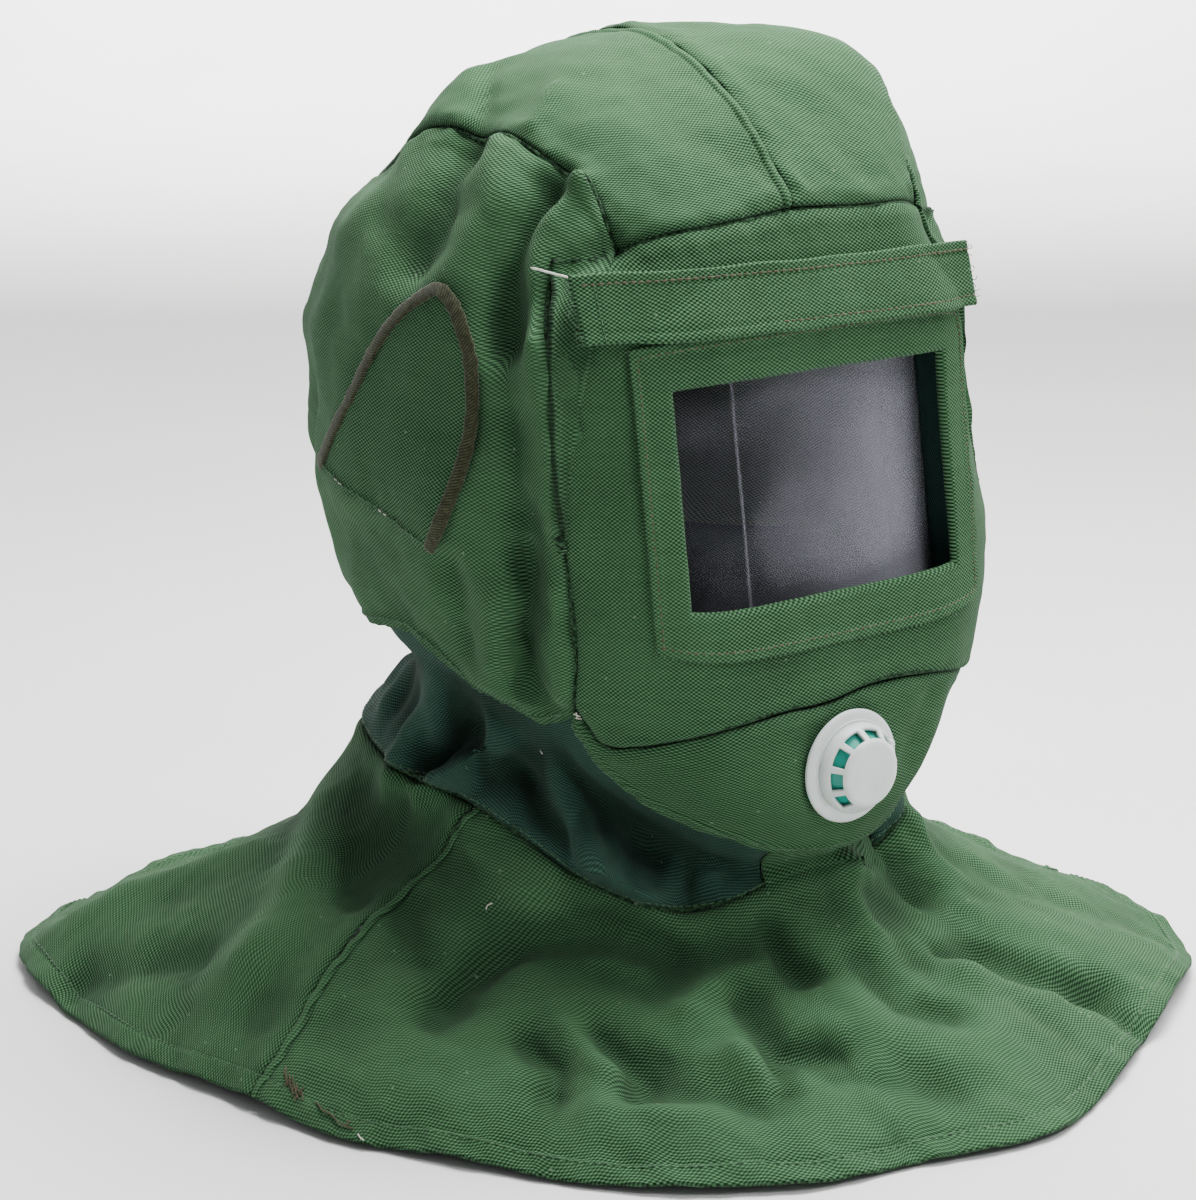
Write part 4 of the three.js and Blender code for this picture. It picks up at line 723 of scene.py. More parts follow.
def hollowness(net, normal, reach=9):
    """How far each place stands over the mean of the places round it, in mm: under 0 in a hollow."""
    level = net.copy()
    for step in (reach, reach // 2):
        for axis in (0, 1):
            wide = np.pad(level, [(step, step) if k == axis else (0, 0) for k in range(3)], mode="edge")
            size = level.shape[axis]
            level = (np.take(wide, np.arange(size), axis=axis)
                     + np.take(wide, np.arange(size) + 2 * step, axis=axis)) / 2
    away = ((net - level) * normal).sum(axis=-1)
    inner = np.minimum(np.minimum.outer(np.arange(net.shape[0]), np.full(net.shape[1], 1e6)),
                       np.minimum.outer(np.full(net.shape[0], 1e6), np.arange(net.shape[1])))
    outer = np.minimum((net.shape[0] - 1 - np.arange(net.shape[0]))[:, None],
                       (net.shape[1] - 1 - np.arange(net.shape[1]))[None, :])
    return away * np.clip(np.minimum(inner, outer) / (1.5 * reach), 0, 1)


def dressed(name, net, uv, kinds, material=None, amount=1.0, seed=1, centre=MIDDLE, keep=None, looped=False,
            rim=(1, 1, 1, 1), thickness=CLOTH, extra=None, rub_and_fold_shade=0.0):
    """Give a panel its seams and rumples, close it and keep its nets."""
    normal = outward(net, net_normals(net, looped), centre)
    height, wear_and_shade = seam_relief(net, kinds, seed=seed)
    height = height + rumpled(net, amount, seed + 10) + (0 if extra is None else extra)
    # by how far each place stands out or sinks, fold crests get paler and hollows darker: painted light and painted
    # shade on the folds, partly real rubbing on the crests
    if rub_and_fold_shade:
        stands = hollowness(net + normal * height[..., None], normal)
        wear_and_shade = np.clip(wear_and_shade + rub_and_fold_shade * np.clip(stands, -2.5, 2.5), -1.3, 1)
    raised = net + normal * height[..., None]
    normal = outward(raised, net_normals(raised, looped), centre)
    outer, inner = eased(raised, normal, thickness, rim, looped)
    made = shell(name, outer, inner, uv, material or canvas, keep, looped, wear_and_shade)
    made_pieces[name] = (made, raised, normal)
    return made, raised, normal


def add_stitches(points, normal, thread="green", pitch=3.6, lift=0.1):
    """Keep a line of stitches that follows these places, a little proud of the cloth."""
    stitch_lines.append((to_row(points + normal * lift), normal * np.array([1, -1, 1]), thread, pitch))


# %% [markdown]
# ## The crown
# Two halves meet at the felled seam over the head. Each is a net between four seam lines, dropped on
# the shape of the bag, because a sewn panel is fixed at its seams and free between them.

# %% The two halves of the crown
def crown(side):
    middle, edge = seam("crown_middle"), seam("crown_side", side)
    front, back = seam("face_top_half", side)[::-1], seam("crown_back", side)[::-1]
    down, over = shares_for(line_length(middle)), shares_for(line_length(front))
    u, v = over[None, :, None], down[:, None, None]
    flat = coons_at(at_shares(front, over), at_shares(back, over), at_shares(middle, down),
                    at_shares(edge, down), u, v)
    net = on_hood(flat)
    run = border_distances(net)
    uv = np.stack([side * run[2], np.broadcast_to(run[0][:, :1], run[0].shape)], axis=-1)
    kinds = ("crease", "crease", "fell" if side < 0 else "crease", "crease")
    return dressed("crown_right_cloth" if side < 0 else "crown_left_cloth", net, uv, kinds, seed=3 + side,
                   rub_and_fold_shade=0.12)


for side in (-1, 1):
    made, raised, normal = crown(side)
    print(made.name, raised.shape[:2], "net")

# %% [markdown]
# ## The side panels
# Each side runs from the face seam round the ear to the middle of the back. Its net is made in angles
# about the middle of the head, because straight lines between its borders would cut through the bag.

# %% Side panels
def to_angles(places):
    way = unit(places - MIDDLE)
    return np.stack([np.arctan2(np.abs(way[..., 0]), way[..., 1]), np.arcsin(way[..., 2])], axis=-1)


def from_angles(angles, side):
    level = np.cos(angles[..., 1])
    return MIDDLE + np.stack([side * np.sin(angles[..., 0]) * level, np.cos(angles[..., 0]) * level,
                              np.sin(angles[..., 1])], axis=-1)


def side_lines(side):
    top = np.vstack([seam("face_top_end", side), seam("crown_side", side)[1:], seam("crown_back", side)[1:]])
    low = seam("side_edge", side)
    front = np.vstack([low[:1], seam("face_side", side)[::-1]])
    return low, top, front, seam("back")[::-1]


def side_net(side, pitch=2.2):
    low, top, front, back = side_lines(side)
    across = shares_for(line_length(top), pitch)
    up = shares_for(line_length(front), pitch)
    angles = [to_angles(at_shares(line, shares)) for line, shares in
              ((low, across), (top, across), (front, up), (back, up))]
    return from_angles(coons_at(*angles, across[None, :, None], up[:, None, None]), side)


def angle_uv(net, side):
    """Cloth coordinates about the ear: true lengths up, and along each level line."""
    angles, reach = to_angles(net), np.linalg.norm(net - MIDDLE, axis=-1)
    return np.stack([side * reach * np.cos(angles[..., 1]) * (angles[..., 0] - math.pi / 2),
                     reach * angles[..., 1]], axis=-1)


def side_panel(side):
    net = on_hood(side_net(side))
    name = "side_right_cloth" if side < 0 else "side_left_cloth"
    made, raised, normal = dressed(name, net, angle_uv(net, side), ("lap", "crease", "crease", "crease"),
                                   amount=1.5, seed=20 + side, rub_and_fold_shade=0.16)
    add_stitches(raised[5, 14:-4], normal[5, 14:-4], "green")
    return raised.shape[:2]


for side in (-1, 1):
    print("side", side, side_panel(side), "net")

# %% [markdown]
# ## The face, its window and the frame
# The face is a flat panel with a window. Its net runs in rings from the window out to the seams, so the
# edge of the window can turn in cleanly. A second layer of canvas is sewn round it as a frame and folds
# back through the window, over the edge of the panel.

# %% Rings round the window
def on_face(across, up):
    """A place on the leaning flat of the face."""
    return np.stack([np.broadcast_to(across, np.shape(up)), FACE_FORWARD - up * math.sin(FACE_TILT),
                     WINDOW_MIDDLE + up * math.cos(FACE_TILT)], axis=-1)


def box_loop(width, height, counts):
    """Closed loop round a box on the face, from its lower right corner (the wearer's), four runs."""
    w, h = width / 2, height / 2
    corners = [(-w, -h), (w, -h), (w, h), (-w, h), (-w, -h)]
    runs = []
    for (a, b), count in zip(zip(corners[:-1], corners[1:]), counts):
        t = np.arange(count) / count
        runs.append(on_face(a[0] + (b[0] - a[0]) * t, a[1] + (b[1] - a[1]) * t))
    return np.vstack([*runs, runs[0][:1]])


def ring_net(inner, outer, shares):
    return inner[None] * (1 - shares[:, None, None]) + outer[None] * shares[:, None, None]


def face_uv(net):
    """Flat cloth coordinates of the face; where the cloth bends back at its sides, the bend adds width."""
    flat = FACE_FORWARD - (net[..., 2] - WINDOW_MIDDLE) * math.tan(FACE_TILT)
    behind = np.clip(flat - net[..., 1], 0, None)
    return np.stack([net[..., 0] + 0.8 * behind * net[..., 0] / HALF_WIDTH * 1.2,
                     net[..., 2] / math.cos(FACE_TILT)], axis=-1)


RING_COUNTS = (92, 62, 92, 62)


def face_panel():
    bottom, left = seam("chin_seam"), seam("face_side", 1)[::-1]
    top = np.vstack([seam("face_top_end", -1), seam("face_top_half", -1)[1:],
                     seam("face_top_half", 1)[::-1][1:], seam("face_top_end", 1)[::-1][1:]])[::-1]
    right = seam("face_side", -1)
    runs = [at_shares(line, np.arange(count) / count)
            for line, count in zip((bottom, left, top, right), RING_COUNTS)]
    border = np.vstack([*runs, runs[0][:1]])
    shares = shares_for(45, 1.7, 0.8, 9)
    net = on_hood(ring_net(box_loop(WINDOW_WIDTH + 3, WINDOW_HEIGHT + 3, RING_COUNTS), border, shares))
    return dressed("face_cloth", net, face_uv(net), (None, "crease", None, None), amount=0.45, seed=31,
                   centre=MIDDLE, looped=True)


made, raised, normal = face_panel()
print("face rings", raised.shape[:2])


def lens_frame(width=188, height=133):
    """Second layer: its first rows turn in through the window."""
    turned_in = [(-2.6, -0.9), (-1.6, -1.3), (-0.4, -1.45), (0.7, -1.2), (1.5, -0.6)]
    loops, lifts = [], []
    for lift, inset in turned_in:
        loops.append(box_loop(WINDOW_WIDTH + 2 * inset, WINDOW_HEIGHT + 2 * inset, RING_COUNTS))
        lifts.append(lift)
    start = box_loop(WINDOW_WIDTH + 0.6, WINDOW_HEIGHT + 0.6, RING_COUNTS)
    shares = shares_for(21.5, 1.2, 0.7, 5)
    for share in shares:
        loops.append(start * (1 - share) + box_loop(width, height, RING_COUNTS) * share)
        lifts.append(2.0)
    net = on_hood(np.array(loops), np.array(lifts)[:, None])
    outer_gap = np.abs(np.arange(len(loops)) - (len(loops) - 1))[:, None] * np.ones((1, net.shape[1]))
    groove = -0.45 * bell((outer_gap - 8) / 1.2)
    made, raised, normal = dressed("lens_frame_cloth", net, face_uv(net), (None, "lap", None, None), amount=0.2,
                                   seed=41, looped=True, thickness=1.4, extra=groove)
    row = len(loops) - 9
    add_stitches(raised[row], normal[row], "brown", 3.4, -0.05)
    return made, raised, normal


made, raised, normal = lens_frame()
print("frame rings", raised.shape[:2])

# %% [markdown]
# ## The chin
# A crescent of canvas closes the bag under the face and carries the valve. The hole for the valve is cut
# out of its net, and the points round it are drawn to a true circle. The flange covers the cut.

# %% Chin panel
valve_low, valve_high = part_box("valve_flange")
FLANGE_THICKNESS, VALVE_HEIGHT, NECK_RADIUS = 3, 128, 17
VALVE_FORWARD = -valve_low[1] / MM + MIDDLE_FORWARD - FLANGE_THICKNESS


def chin_panel():
    half = lambda side: seam("chin_edge", side)
    edge = np.vstack([half(-1), half(1)[::-1][1:]])
    top = seam("chin_seam")
    across = shares_for(line_length(top), 1.9)
    up = shares_for(62, 1.5, 0.8, 9)
    first = edge[0] + (top[0] - edge[0]) * up[:, None]
    last = edge[-1] + (top[-1] - edge[-1]) * up[:, None]
    net = on_hood(coons_at(at_shares(edge, across), at_shares(top, across), first, last,
                           across[None, :, None], up[:, None, None]))
    hole = NECK_RADIUS + 1.2
    gap = np.hypot(net[..., 0], net[..., 2] - VALVE_HEIGHT)
    near = np.abs(gap - hole) < 1.3
    pull = np.where(near, hole / np.maximum(gap, 1e-6), 1.0)
    net[..., 0] *= pull
    net[..., 2] = VALVE_HEIGHT + (net[..., 2] - VALVE_HEIGHT) * pull
    gap = np.hypot(net[..., 0], net[..., 2] - VALVE_HEIGHT)
    cells = (gap[:-1, :-1] + gap[1:, :-1] + gap[:-1, 1:] + gap[1:, 1:]) / 4
    under = -np.clip(net[..., 1] - VALVE_FORWARD + 0.9, 0, None) * (gap < 27)
    uv = angle_uv(net, np.sign(net[..., 0]))
    uv[..., 0] = np.linalg.norm(net[..., :2] - MIDDLE[:2], axis=-1) * np.arctan2(net[..., 0], net[..., 1] - MIDDLE[1])
    made, raised, normal = dressed("chin_cloth", net, uv, ("lap", "crease", "crease", "crease"), amount=0.8,
                                   seed=51, keep=cells > hole + 0.2, extra=under)
    add_stitches(raised[6, 3:-3], normal[6, 3:-3], "green")
    return made, raised, normal


made, raised, normal = chin_panel()
print("chin", raised.shape[:2], "valve plane", round(float(VALVE_FORWARD), 2), "mm forward")

# %% [markdown]
# ## The brow strip
# A folded strip of canvas is sewn across the brow. It lies on the face in the middle and bridges the
# hollows at its ends, so it casts a shadow below. Its lower edge stands off a little, as stiff cloth does.

# %% Brow strip
def hood_front(x, height):
    """How far forward the cloth is at a width and height, found by walking out level."""
    start = np.stack([x, np.full_like(x, MIDDLE_FORWARD), height], axis=-1)
    reach = np.full(x.shape, float(FORWARD))
    for _ in range(9):
        spot = start + reach[..., None] * np.array([0, 1, 0]) - MIDDLE
        length = np.linalg.norm(spot, axis=-1)
        reach = reach * hood_reach(spot / length[..., None]) / length
    return MIDDLE_FORWARD + reach


STRIP_RIGHT, STRIP_LEFT, STRIP_HEIGHT, STRIP_MIDDLE, STRIP_THICK, STRIP_SAG = 112, 97, 27.5, 324, 3, 11


def brow_strip():
    down = shares_for(STRIP_HEIGHT, 1.2, 0.6, 4)
    over = shares_for(STRIP_RIGHT + STRIP_LEFT, 1.7, 0.7, 6)
    v, u = down[:, None], over[None, :]
    x = -STRIP_RIGHT + (STRIP_RIGHT + STRIP_LEFT) * u - 3 * (v - 0.5)
    z = STRIP_MIDDLE + STRIP_HEIGHT * (v - 0.5) + x * math.tan(math.radians(-1.2))
    middle_back = hood_front(np.array([0.0]), np.array([float(STRIP_MIDDLE)]))[0] + LAYER_GAP
    bridge = middle_back + (STRIP_MIDDLE - z) * math.tan(FACE_TILT) - STRIP_SAG * (x / STRIP_RIGHT)**2
    seat = 2 * LAYER_GAP + 1.8 * (1 - v) + 0 * x
    back = np.maximum(bridge, hood_front(x, z) + seat) + 1.6 * (1 - v)**2 + 0.4 * waves(
        np.stack([x, 0 * x, 0 * x], axis=-1), 45, 5)
    net = np.stack([x, back + STRIP_THICK, z], axis=-1)
    net[..., 2] += 0.5 * waves(net * np.array([1, 0, 0]), 30, 8) * (np.abs(v - 0.5) * 2)**3
    run = border_distances(net)
    groove = sum(-0.5 * bell((run[k] - d) / 0.7) for k, d in ((1, 5.0), (0, 4.5))) - 0.5 * bell((run[2] - 9) / 0.8)
    made, raised, normal = dressed("brow_strip_cloth", net, net[..., [0, 2]], (None, None, None, None), amount=0.5,
                                   seed=61, thickness=STRIP_THICK, extra=groove)
    top_row, low_row = int(np.argmin(np.abs(run[1][:, 20] - 5.0))), int(np.argmin(np.abs(run[0][:, 20] - 4.5)))
    end_column = int(np.argmin(np.abs(run[2][5] - 9)))
    add_stitches(raised[top_row, 8:-3], normal[top_row, 8:-3], "brown", 3.6)
    add_stitches(raised[low_row, 60:-3], normal[low_row, 60:-3], "brown", 3.6)
    add_stitches(raised[4:-8, end_column], normal[4:-8, end_column], "green", 3.2)
    return raised.shape[:2]


print("strip", brow_strip())

# %% [markdown]
# ## The clear sheet and its sleeve
# The window is one flexible sheet, bent round a wide cylinder. Behind the opening, a sleeve of cloth, its colour
# darkened with painted shade, runs back to it, and shows as a deep reveal at the far side.

# %% Lens and sleeve
LENS_BEND, LENS_HALF, LENS_HIGH, SET_BACK = 185, 80, 116, 5
PANEL_BACK = -CLOTH - LAYER_GAP


def leaning(across, back, up):
    """A place by its distance across, behind and up the leaning flat of the face."""
    forward = FACE_FORWARD - back * math.cos(FACE_TILT) - up * math.sin(FACE_TILT)
    height = WINDOW_MIDDLE - back * math.sin(FACE_TILT) + up * math.cos(FACE_TILT)
    return np.stack([across, forward, height], axis=-1)


def lens_fall(across):
    return LENS_BEND - np.sqrt(LENS_BEND**2 - across**2)


def clear_lens():
    across = np.linspace(-LENS_HALF, LENS_HALF, 120)[None, :] * np.ones((40, 1))
    up = np.linspace(-LENS_HIGH / 2, LENS_HIGH / 2, 40)[:, None] * np.ones((1, 120))
    back = -PANEL_BACK + SET_BACK + lens_fall(across) + 0.15 * waves(np.stack([across, up, up], -1), 60, 4)
    net = leaning(across, back, up)
    normal = outward(net, net_normals(net), MIDDLE)
    outer, inner = eased(net, normal, 1.2)
    made = shell("lens_sheet", outer, inner, np.stack([across, up], -1), window_sheet)
    made_pieces["lens_sheet"] = (made, net, normal)
    return made


def sleeve():
    """Loops from just behind the panel back to the lens, then forward again one cloth inside."""
    counts = (60, 40, 60, 40)
    steps = np.linspace(0, 1, 9)

    def loop(margin, share):
        w, h = WINDOW_WIDTH / 2 + margin, WINDOW_HEIGHT / 2 + margin
        ring = []
        corners = [(-w, -h), (w, -h), (w, h), (-w, h), (-w, -h)]
        for (a, b), count in zip(zip(corners[:-1], corners[1:]), counts):
            t = np.arange(count) / count
            ring.append(np.stack([a[0] + (b[0] - a[0]) * t, a[1] + (b[1] - a[1]) * t], axis=-1))
        flat = np.vstack([*ring, ring[0][:1]])
        x, up = flat[:, 0], flat[:, 1]
        place = leaning(x, 0 * x, up)
        fall = (place[:, 1] - np.minimum(hood_front(x, place[:, 2]), place[:, 1])) * math.cos(FACE_TILT)
        front, rear = -PANEL_BACK + fall + 0.5, -PANEL_BACK + SET_BACK - 0.6 + lens_fall(x)
        return leaning(x, front + (rear - front) * share, up)

    outer = np.array([loop(4, s) for s in steps])
    inner = np.array([loop(2.2, s) for s in steps])
    run = border_distances(outer)
    return shell("sleeve_painted_shade_cloth", outer, inner, np.stack([run[2], run[0]], -1), sleeve_painted_shade_cloth, looped=True)


print("lens", len(clear_lens().data.polygons), "faces; sleeve", len(sleeve().data.polygons), "faces")

# %% [markdown]
# ## The exhale valve
# The valve is turned and moulded: a flat flange, a round cap with a ring of slanting windows, and a teal
# disc inside. A profile is turned about the axis, and the windows are cells left out of the cap's net,
# so that their edges have the wall's thickness.

# %% Turned valve parts
# the cap's windows: degrees from the top about the axis (minus is the wearer's right), none at the foot
CAP_WINDOWS, WINDOW_HALF_TURN = (-132, -96, -60, -24, 12, 48, 84, 120), 13


def turned(name, profile, thickness, material, turns=240, windows=(), window_rows=None, centre_back=30):
    """Turn (radius, forward) places about the valve's axis. The windows are left out of some rows."""
    profile = np.asarray(profile, float)
    angle = np.linspace(0, 2 * math.pi, turns + 1)
    net = np.stack([profile[:, :1] * np.sin(angle), np.broadcast_to(VALVE_FORWARD + profile[:, 1:], (len(profile), turns + 1)),
                    VALVE_HEIGHT + profile[:, :1] * np.cos(angle)], axis=-1)
    slope = np.gradient(profile, axis=0)
    side = np.stack([slope[:, 1], -slope[:, 0]], axis=-1)
    side /= np.maximum(np.linalg.norm(side, axis=1, keepdims=True), 1e-9)
    side *= np.sign(side[len(side) // 2] @ (profile[len(side) // 2] - np.array([0, -centre_back])))
    low = profile - side * thickness
    low[:, 0] = np.maximum(low[:, 0], 0)
    inner = np.stack([low[:, :1] * np.sin(angle), np.broadcast_to(VALVE_FORWARD + low[:, 1:], (len(profile), turns + 1)),
                      VALVE_HEIGHT + low[:, :1] * np.cos(angle)], axis=-1)
    keep = np.ones((len(profile) - 1, turns), bool)
    if windows:
        middles = (np.arange(turns) + 0.5) * 360 / turns
        away = np.abs((middles[:, None] - np.asarray(windows)[None, :] + 180) % 360 - 180).min(axis=1)
        keep[window_rows[0]:window_rows[1]] = away > WINDOW_HALF_TURN
    run = border_distances(net)
    return shell(name, net, inner, np.stack([run[2], run[0]], -1), material, keep=keep, looped=True)


def rounded(points, radius=0.6, steps=4):
    """A profile with its inner corners rounded."""
    points = np.asarray(points, float)
    made = [points[0]]
    for before, corner, after in zip(points[:-2], points[1:-1], points[2:]):
        a, b = before - corner, after - corner
        cut = min(radius, 0.45 * np.linalg.norm(a), 0.45 * np.linalg.norm(b))
        start, end = corner + a / np.linalg.norm(a) * cut, corner + b / np.linalg.norm(b) * cut
        for t in np.linspace(0, 1, steps):
            made.append((1 - t)**2 * start + 2 * t * (1 - t) * corner + t**2 * end)
    made.append(points[-1])
    return np.array(made)


def valve():
    flange = rounded([(17, -11.5), (17, -0.1), (24.5, 0.1), (24.5, 1.6), (23.2, 2.3), (20.4, 2.6), (20.3, 3.0),
                      (15.2, 3.0), (15.2, -11.5), (17, -11.5)], 0.5)
    ring = np.stack([flange[:, :1] * np.sin(t) for t in np.linspace(0, 2 * math.pi, 161)], axis=1)[..., 0]
    rise = np.stack([flange[:, :1] * np.cos(t) for t in np.linspace(0, 2 * math.pi, 161)], axis=1)[..., 0]
    points = to_row(np.stack([ring, np.broadcast_to(VALVE_FORWARD + flange[:, 1:], ring.shape), VALVE_HEIGHT + rise], -1))
    count = len(flange) - 1
    places = points[:-1, :-1].reshape(-1, 3)
    label = np.arange(count * 160).reshape(count, 160)
    after, beside = np.roll(label, -1, axis=0), np.roll(label, -1, axis=1)
    faces = np.stack([label, after, np.roll(after, -1, axis=1), beside], axis=-1).reshape(-1, 4)
    flange_ring = piece("valve_flange_ring", places, faces[:, ::-1], material=milky_plastic)
    made = [flange_ring]
    cap = rounded([(19.5, 3.3), (19.5, 6.0), (18.9, 7.4), (14.6, 13.6), (13.8, 14.5), (12.4, 15.0), (6, 15.1), (0.5, 15.1), (0.02, 15.1)], 0.9, 5)
    start = int(np.argmax(cap[:, 1] > 9)) - 1
    a, b = cap[start], cap[start + 1]
    steps = a + (b - a) * np.linspace(0, 1, 9)[1:-1, None]
    wide = np.vstack([cap[:start + 1], steps, cap[start + 1:]])
    made.append(turned("valve_cap_shell", wide, 1.5, milky_plastic, windows=CAP_WINDOWS, window_rows=(start + 1, start + 8)))
    core = rounded([(17.2, 3.4), (17.2, 5.2), (12.4, 12.3), (0.05, 12.6)], 0.6)
    made.append(turned("valve_disc", core, 1.4, teal_plastic, turns=120))
    return made


for part in valve():
    print(part.name, len(part.data.polygons), "faces")


def cap_clips():
    """Three small clips at the rim of the cap, from bevelled blocks."""
    points, faces = [], []
    for degrees in (68, 92, 116):
        t = math.radians(degrees)
        out = np.array([math.sin(t), 0, math.cos(t)])
        along = np.array([math.cos(t), 0, -math.sin(t)])
        ahead = np.array([0, 1, 0])
        base = np.array([0, VALVE_FORWARD, VALVE_HEIGHT]) + out * 19.6 + ahead * 5.5
        rows = []
        for grow, step in ((1.0, -0.4), (1.0, 1.0), (0.55, 1.7)):
            rows.append([base + out * step + along * 1.7 * grow * a + ahead * 1.3 * grow * b
                         for a, b in ((-1, -0.6), (-0.6, -1), (0.6, -1), (1, -0.6), (1, 0.6), (0.6, 1), (-0.6, 1), (-1, 0.6))])
        start = len(points)
        points += [p for row in rows for p in row]
        for level in range(2):
            for k in range(8):
                a, b = start + level * 8 + k, start + level * 8 + (k + 1) % 8
                faces.append([a, b, b + 8, a + 8])
        faces.append([start + 16 + k for k in range(8)])
        faces.append([start + 7 - k for k in range(8)])
    return piece("valve_clips", to_row(np.array(points)), faces, material=milky_plastic)


clips = cap_clips()
print("clips", len(clips.data.polygons))

# %% [markdown]
# ## The ear flaps and their binding
# Over each ear a patch of canvas is sewn under an arch of brown tape. The patch is a net between the two
# halves of the arch. The tape is swept along the arch on the cloth below, with a low domed section.

# %% Ear flaps
def arch(side, count):
    back, front = seam("flap_back", side), seam("flap_front", side)
    shares = np.linspace(0, 1, count)
    return at_shares(back, shares), at_shares(front, shares)


def ear_flap(side):
    back, front = arch(side, 110)
    middle = (back[-1] + front[-1]) / 2
    over = np.linspace(0, 1, 90)[None, :, None]
    net = back[:, None] * (1 - over) + front[:, None] * over
    puff = np.sin(math.pi * over[..., 0]) * np.linspace(0, 1, 110)[:, None]
    net = on_hood(net, 0.5 + 1.7 + 1.2 * puff)
    name = "ear_flap_right_cloth" if side < 0 else "ear_flap_left_cloth"
    made, raised, normal = dressed(name, net, angle_uv(net, side), (None, "lap", None, None), amount=0.5,
                                   seed=70 + side, thickness=1.5)
    add_stitches(raised[-5, 4:-6], normal[-5, 4:-6], "green", 4.2)
    for start in (18, 52):
        add_stitches(raised[-5, start:start + 5], normal[-5, start:start + 5], "white", 4.4)
    return raised.shape[:2]


def ear_binding(side, width=6.2, thick=2.2, lift=1.7):
    back, front = arch(side, 130)
    line = on_hood(np.vstack([back[::-1], front]), 0)
    line = at_shares(line, np.linspace(0, 1, 230))
    along = unit(np.gradient(line, axis=0))
    up = unit(line - MIDDLE)
    across = unit(np.cross(along, up))
    turn = np.linspace(0, 2 * math.pi, 17)
    ends = np.minimum(np.arange(230), np.arange(230)[::-1]) * line_length(line) / 229
    round_end = np.sqrt(np.clip(1 - (1 - np.clip(ends / (width / 2), 0, 1))**2, 0.02, 1))
    fuzz = 1 + 0.07 * waves(line, 6, 9) + 0.06 * waves(line, 2.2, 15)
    half = (width / 2 * round_end * fuzz)[:, None, None]
    high = (thick / 2 * round_end)[:, None, None]
    c, s = np.cos(turn)[None, :, None], np.sin(turn)[None, :, None]
    flat_c = np.sign(c) * np.abs(c)**0.6
    flat_s = np.sign(s) * np.abs(s)**0.8
    tube = line[:, None] + across[:, None] * flat_c * half + up[:, None] * (flat_s * high + lift + thick / 2)
    run = np.concatenate([[0], np.cumsum(np.linalg.norm(np.diff(line, axis=0), axis=1))])
    uv = np.stack([run[:, None] + 0 * turn, 0 * run[:, None] + np.cos(turn) * width / 2], axis=-1) * MM
    count = 16
    label = np.arange(230 * count).reshape(230, count)
    corner = np.stack([label[:-1], np.roll(label[:-1], -1, axis=1), np.roll(label[1:], -1, axis=1), label[1:]], -1)
    maps = np.stack([uv[:-1, :-1], uv[:-1, 1:], uv[1:, 1:], uv[1:, :-1]], axis=2).reshape(-1, 2)
    faces = [list(f) for f in corner.reshape(-1, 4).tolist()] + [label[0, ::-1].tolist(), label[-1].tolist()]
    maps = np.vstack([maps, np.zeros((2 * count, 2))])
    points = to_row(tube[:, :count].reshape(-1, 3))
    made = piece("ear_binding_right_tape" if side < 0 else "ear_binding_left_tape", points, faces, maps, braid)
    face_out(made)
    return made


def face_out(made):
    """Turn every face of a closed mesh to point outwards."""
    import bmesh
    work = bmesh.new()
    work.from_mesh(made.data)
    bmesh.ops.recalc_face_normals(work, faces=work.faces)
    work.to_mesh(made.data)
    work.free()


for side in (-1, 1):
    print("flap", side, ear_flap(side), "binding", len(ear_binding(side).data.polygons))
face_out(clips)

# %% [markdown]
# ## The collar and the cape
# Below the hood a darker cloth band, the collar, falls to the neck seam, and the cape lies out from there
# over the shoulders to a turned hem. One function gives the place on this cloth for an angle round the
# neck and a share of the way down: 0 at the collar's top, 1 at the neck seam, 2 at the hem.

# %% Sizes of the collar and cape
HEM_RADIUS, NECK_WIDE, NECK_RISE, NECK_FORWARD = 273, 128, 110, 22
TUCK, CLEAR, TUCK_GAP, HELD = 8, 3, 0.4, 0.2
TONGUE, TONGUE_LEFT, SHOULDER = 10, 34, 73

# columns: angle from the front, reach, rise
NECK = np.array([
    [0, 1.0, 0.69], [9, 1.0, 0.66], [18, 0.99, 0.60], [26, 1.0, 0.59], [34, 1.0, 0.61], [42, 0.99, 0.67],
    [51, 0.97, 0.755], [60, 0.93, 0.84], [73, 0.885, 0.91], [85, 0.86, 0.92], [110, 0.88, 0.93],
    [138, 0.96, 0.97], [180, 0.99, 1.0]], float)
# columns: angle from the front, reach, lift, sink
HEM = np.array([
    [-180, 0.79, 0.0, 0.85], [-165, 0.82, 0.0, 0.9], [-150, 0.87, 0.0, 0.9], [-136, 0.925, 0.0, 0.7],
    [-123, 0.985, 0.0, 0.15], [-108, 0.945, 0.01, 0.0], [-92, 0.905, 0.0, 0.0], [-76, 0.885, 0.012, 0.0],
    [-62, 0.92, 0.0, 0.0], [-50, 0.935, 0.004, 0.0], [-37, 0.993, 0.0, 0.0], [-20, 1.04, 0.004, 0.0],
    [-10, 1.03, 0.0, 0.0], [3, 1.06, 0.0, 0.0], [18, 1.0, 0.0, 0.0], [34, 0.995, 0.03, 0.05],
    [46, 1.005, 0.0, 0.25], [60, 0.95, 0.01, 0.5], [72, 0.885, 0.0, 0.75], [90, 0.84, 0.0, 0.8],
    [110, 0.87, 0.012, 0.75], [130, 0.89, 0.0, 0.6], [155, 0.84, 0.006, 0.7], [180, 0.79, 0.0, 0.85]], float)
# columns: share of the way from neck to hem, share of the fall
CAPE_FALL = np.array([[0, 0], [0.05, 0.17], [0.1, 0.28], [0.18, 0.37], [0.35, 0.47], [0.52, 0.57],
                      [0.7, 0.68], [0.87, 0.83], [1, 1]], float)
